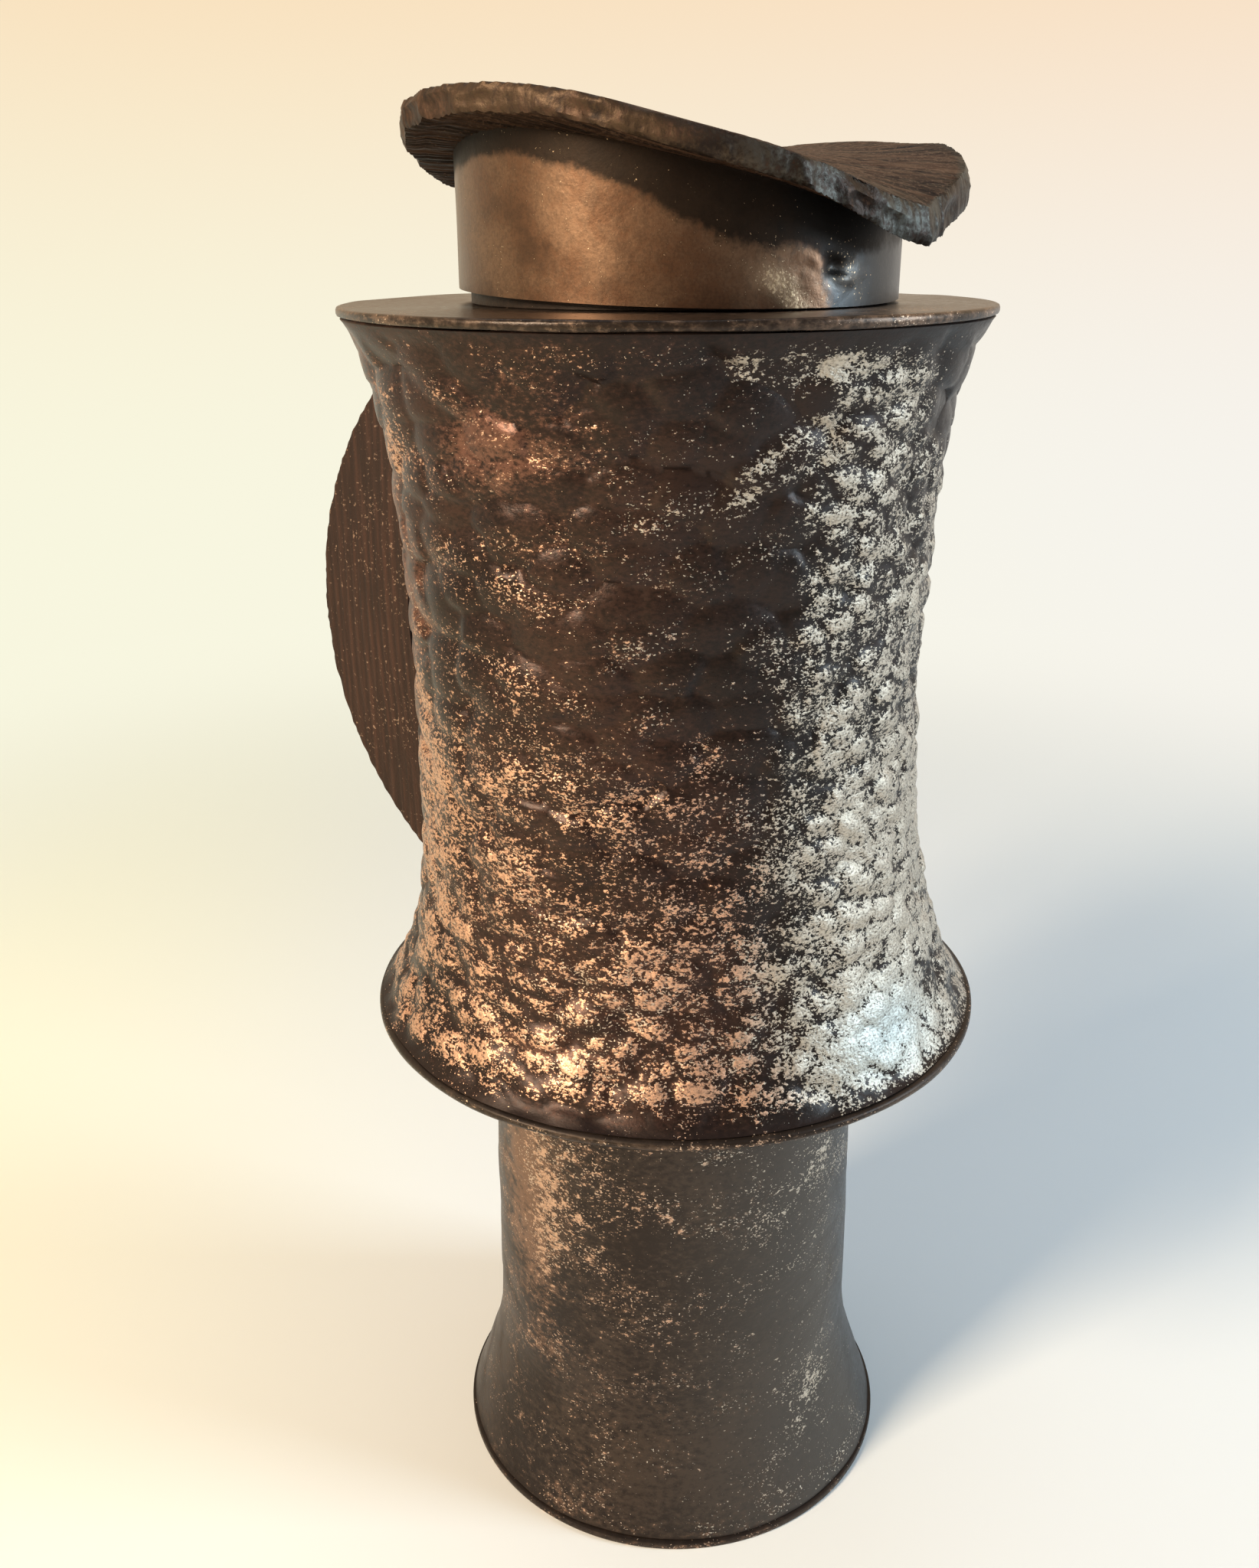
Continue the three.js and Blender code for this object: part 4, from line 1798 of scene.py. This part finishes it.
        # Painted highlight of the lamps, with the rough patch; the wear mark carries it.
        shine = 0.85 * bell(turn + 1.5 * rise, 27, 6) * ease(8, 3, rise) + 0.3 * patch
        piece.mark(Mark.WEAR, shine)
        piece.smooth(SHEET_EDGE)
        return piece

    @staticmethod
    def scorch_and_shadow(turn: Array, rise: Array, below: Array) -> Array:
        """How dark the skirt is: heat stain of brazing together with painted shadow under the
        plate's edge.

        Args:
            turn: Angle round the skirt, in degrees.
            rise: Height above its lower edge, in mm.
            below: Depth under its upper edge, in metres.

        Returns:
            The darkening, 0 where there is none and 1 or more where it is full.
        """
        reach = (3.8 + 2.8 * ease(-55, 5, turn) + 2.4 * bell(turn, 10, 16)) * MM
        scorch_and_shadow = ease(1.4, 0.55, below / reach) * (0.95 + 0.3 * bell(turn, 16, 30))
        scorch_and_shadow += 0.75 * bell(turn, 35, 6) * ease(1.5, 5, rise)
        return np.clip(scorch_and_shadow, 0, 1.2)


@dataclass
class Lamp:
    """A soft light panel, placed as seen from the camera's side."""

    name: str
    place: tuple[float, float, float]
    width: float
    height: float
    power: float
    colour: Colour

    def hang(self, aim: Vector) -> None:
        """Hangs the lamp and points it at the jug.

        Args:
            aim: The place that it points at.
        """
        light = bpy.data.lights.new(self.name, "AREA")
        light.shape = "RECTANGLE"
        light.size = self.width
        light.size_y = self.height
        light.energy = self.power
        light.color = self.colour
        lamp = bpy.data.objects.new(self.name, light)
        lamp.location = Matrix.Rotation(VIEW_TURN, 3, "Z") @ Vector(self.place)
        lamp.rotation_mode = "QUATERNION"
        lamp.rotation_quaternion = (aim - lamp.location).to_track_quat("-Z", "Y")
        lamp.visible_camera = False
        bpy.context.scene.collection.objects.link(lamp)


@dataclass
class Studio:
    """The paper sweep, the lights and the camera."""

    eye: tuple[float, float, float] = (-8.3 * MM, -240 * MM, 232.2 * MM)
    pitch: float = 21.23
    roll: float = -0.33
    lens: float = 32.52
    sensor: float = 36
    nearest: float = 10 * MM
    flat: float = 0.5
    cove: float = 0.6
    height: float = 1.7
    cove_steps: int = 16
    paper_turns: int = 96
    sky: Colour = (0.63, 0.79, 1.0)
    sky_strength: float = 0.185
    lamps: Sequence[Lamp] = (
        Lamp("warm_window", (-0.66, -0.53, 0.60), 0.24, 0.30, 12.5, (1.0, 0.84, 0.63)),
        Lamp("cool_window", (0.885, -0.16, 0.44), 0.30, 0.60, 8.5, (0.66, 0.85, 1.0)),
        Lamp("ceiling", (-0.1, 0.3, 1.2), 0.8, 0.8, 2.5, (0.78, 0.89, 1.0)),
    )

    def build(self) -> None:
        """Sets up everything round the jug."""
        self.paper()
        middle = (CAD_BOX[0] + CAD_BOX[1]) / 2
        for lamp in self.lamps:
            lamp.hang(middle)
        self.camera()
        world = bpy.data.worlds.new("studio")
        world.use_nodes = True
        sky = world.node_tree.nodes["Background"]
        sky.inputs["Color"].default_value = (*self.sky, 1.0)
        sky.inputs["Strength"].default_value = self.sky_strength
        bpy.context.scene.world = world
        bpy.context.scene.view_settings.view_transform = "Standard"

    def paper(self) -> None:
        """Lays the paper floor, which sweeps up all round."""
        outline: Outline = [(0.0, 0.0), (self.flat * 0.5, 0.0), (self.flat, 0.0)]
        for step in range(1, self.cove_steps + 1):
            turn = math.pi / 2 * step / self.cove_steps
            out, up = math.sin(turn), 1 - math.cos(turn)
            outline.append((self.flat + self.cove * out, self.cove * up))
        outline.append((self.flat + self.cove, self.height))
        sweep = Work.spin("paper_sweep", outline, self.paper_turns, closed=False)
        with sweep.editing():
            bpy.ops.mesh.flip_normals()
        sweep.smooth(PAPER_EDGE)
        piece = sweep.piece
        piece.data.materials.append(PAPER_FINISH.material())

    def camera(self) -> None:
        """Sets the camera at the photograph's place and angle."""
        pitch, roll = math.radians(self.pitch), math.radians(self.roll)
        right = Vector((1, 0, 0))
        down = Vector((0, -math.sin(pitch), -math.cos(pitch)))
        forward = Vector((0, math.cos(pitch), -math.sin(pitch)))
        across = right * math.cos(roll) - down * math.sin(roll)
        fall = right * math.sin(roll) + down * math.cos(roll)
        turn = Matrix.Rotation(VIEW_TURN, 3, "Z")
        axes = Matrix((turn @ across, -(turn @ fall), -(turn @ forward))).transposed()
        data = bpy.data.cameras.new("photo_camera")
        data.lens = self.lens
        data.sensor_width = self.sensor
        data.clip_start = self.nearest
        camera = bpy.data.objects.new("photo_camera", data)
        camera.matrix_world = Matrix.Translation(turn @ Vector(self.eye)) @ axes.to_4x4()
        bpy.context.scene.collection.objects.link(camera)
        bpy.context.scene.camera = camera


def main() -> None:
    """Builds the jug piece by piece, then the studio round it."""
    logging.basicConfig(level=logging.INFO, format="%(relativeCreated)d ms %(message)s")
    vessel = Vessel()
    Foot().build()
    vessel.build()
    Handle().build(vessel)
    Lid().build()
    Studio().build()


if __name__ == "__main__":
    main()
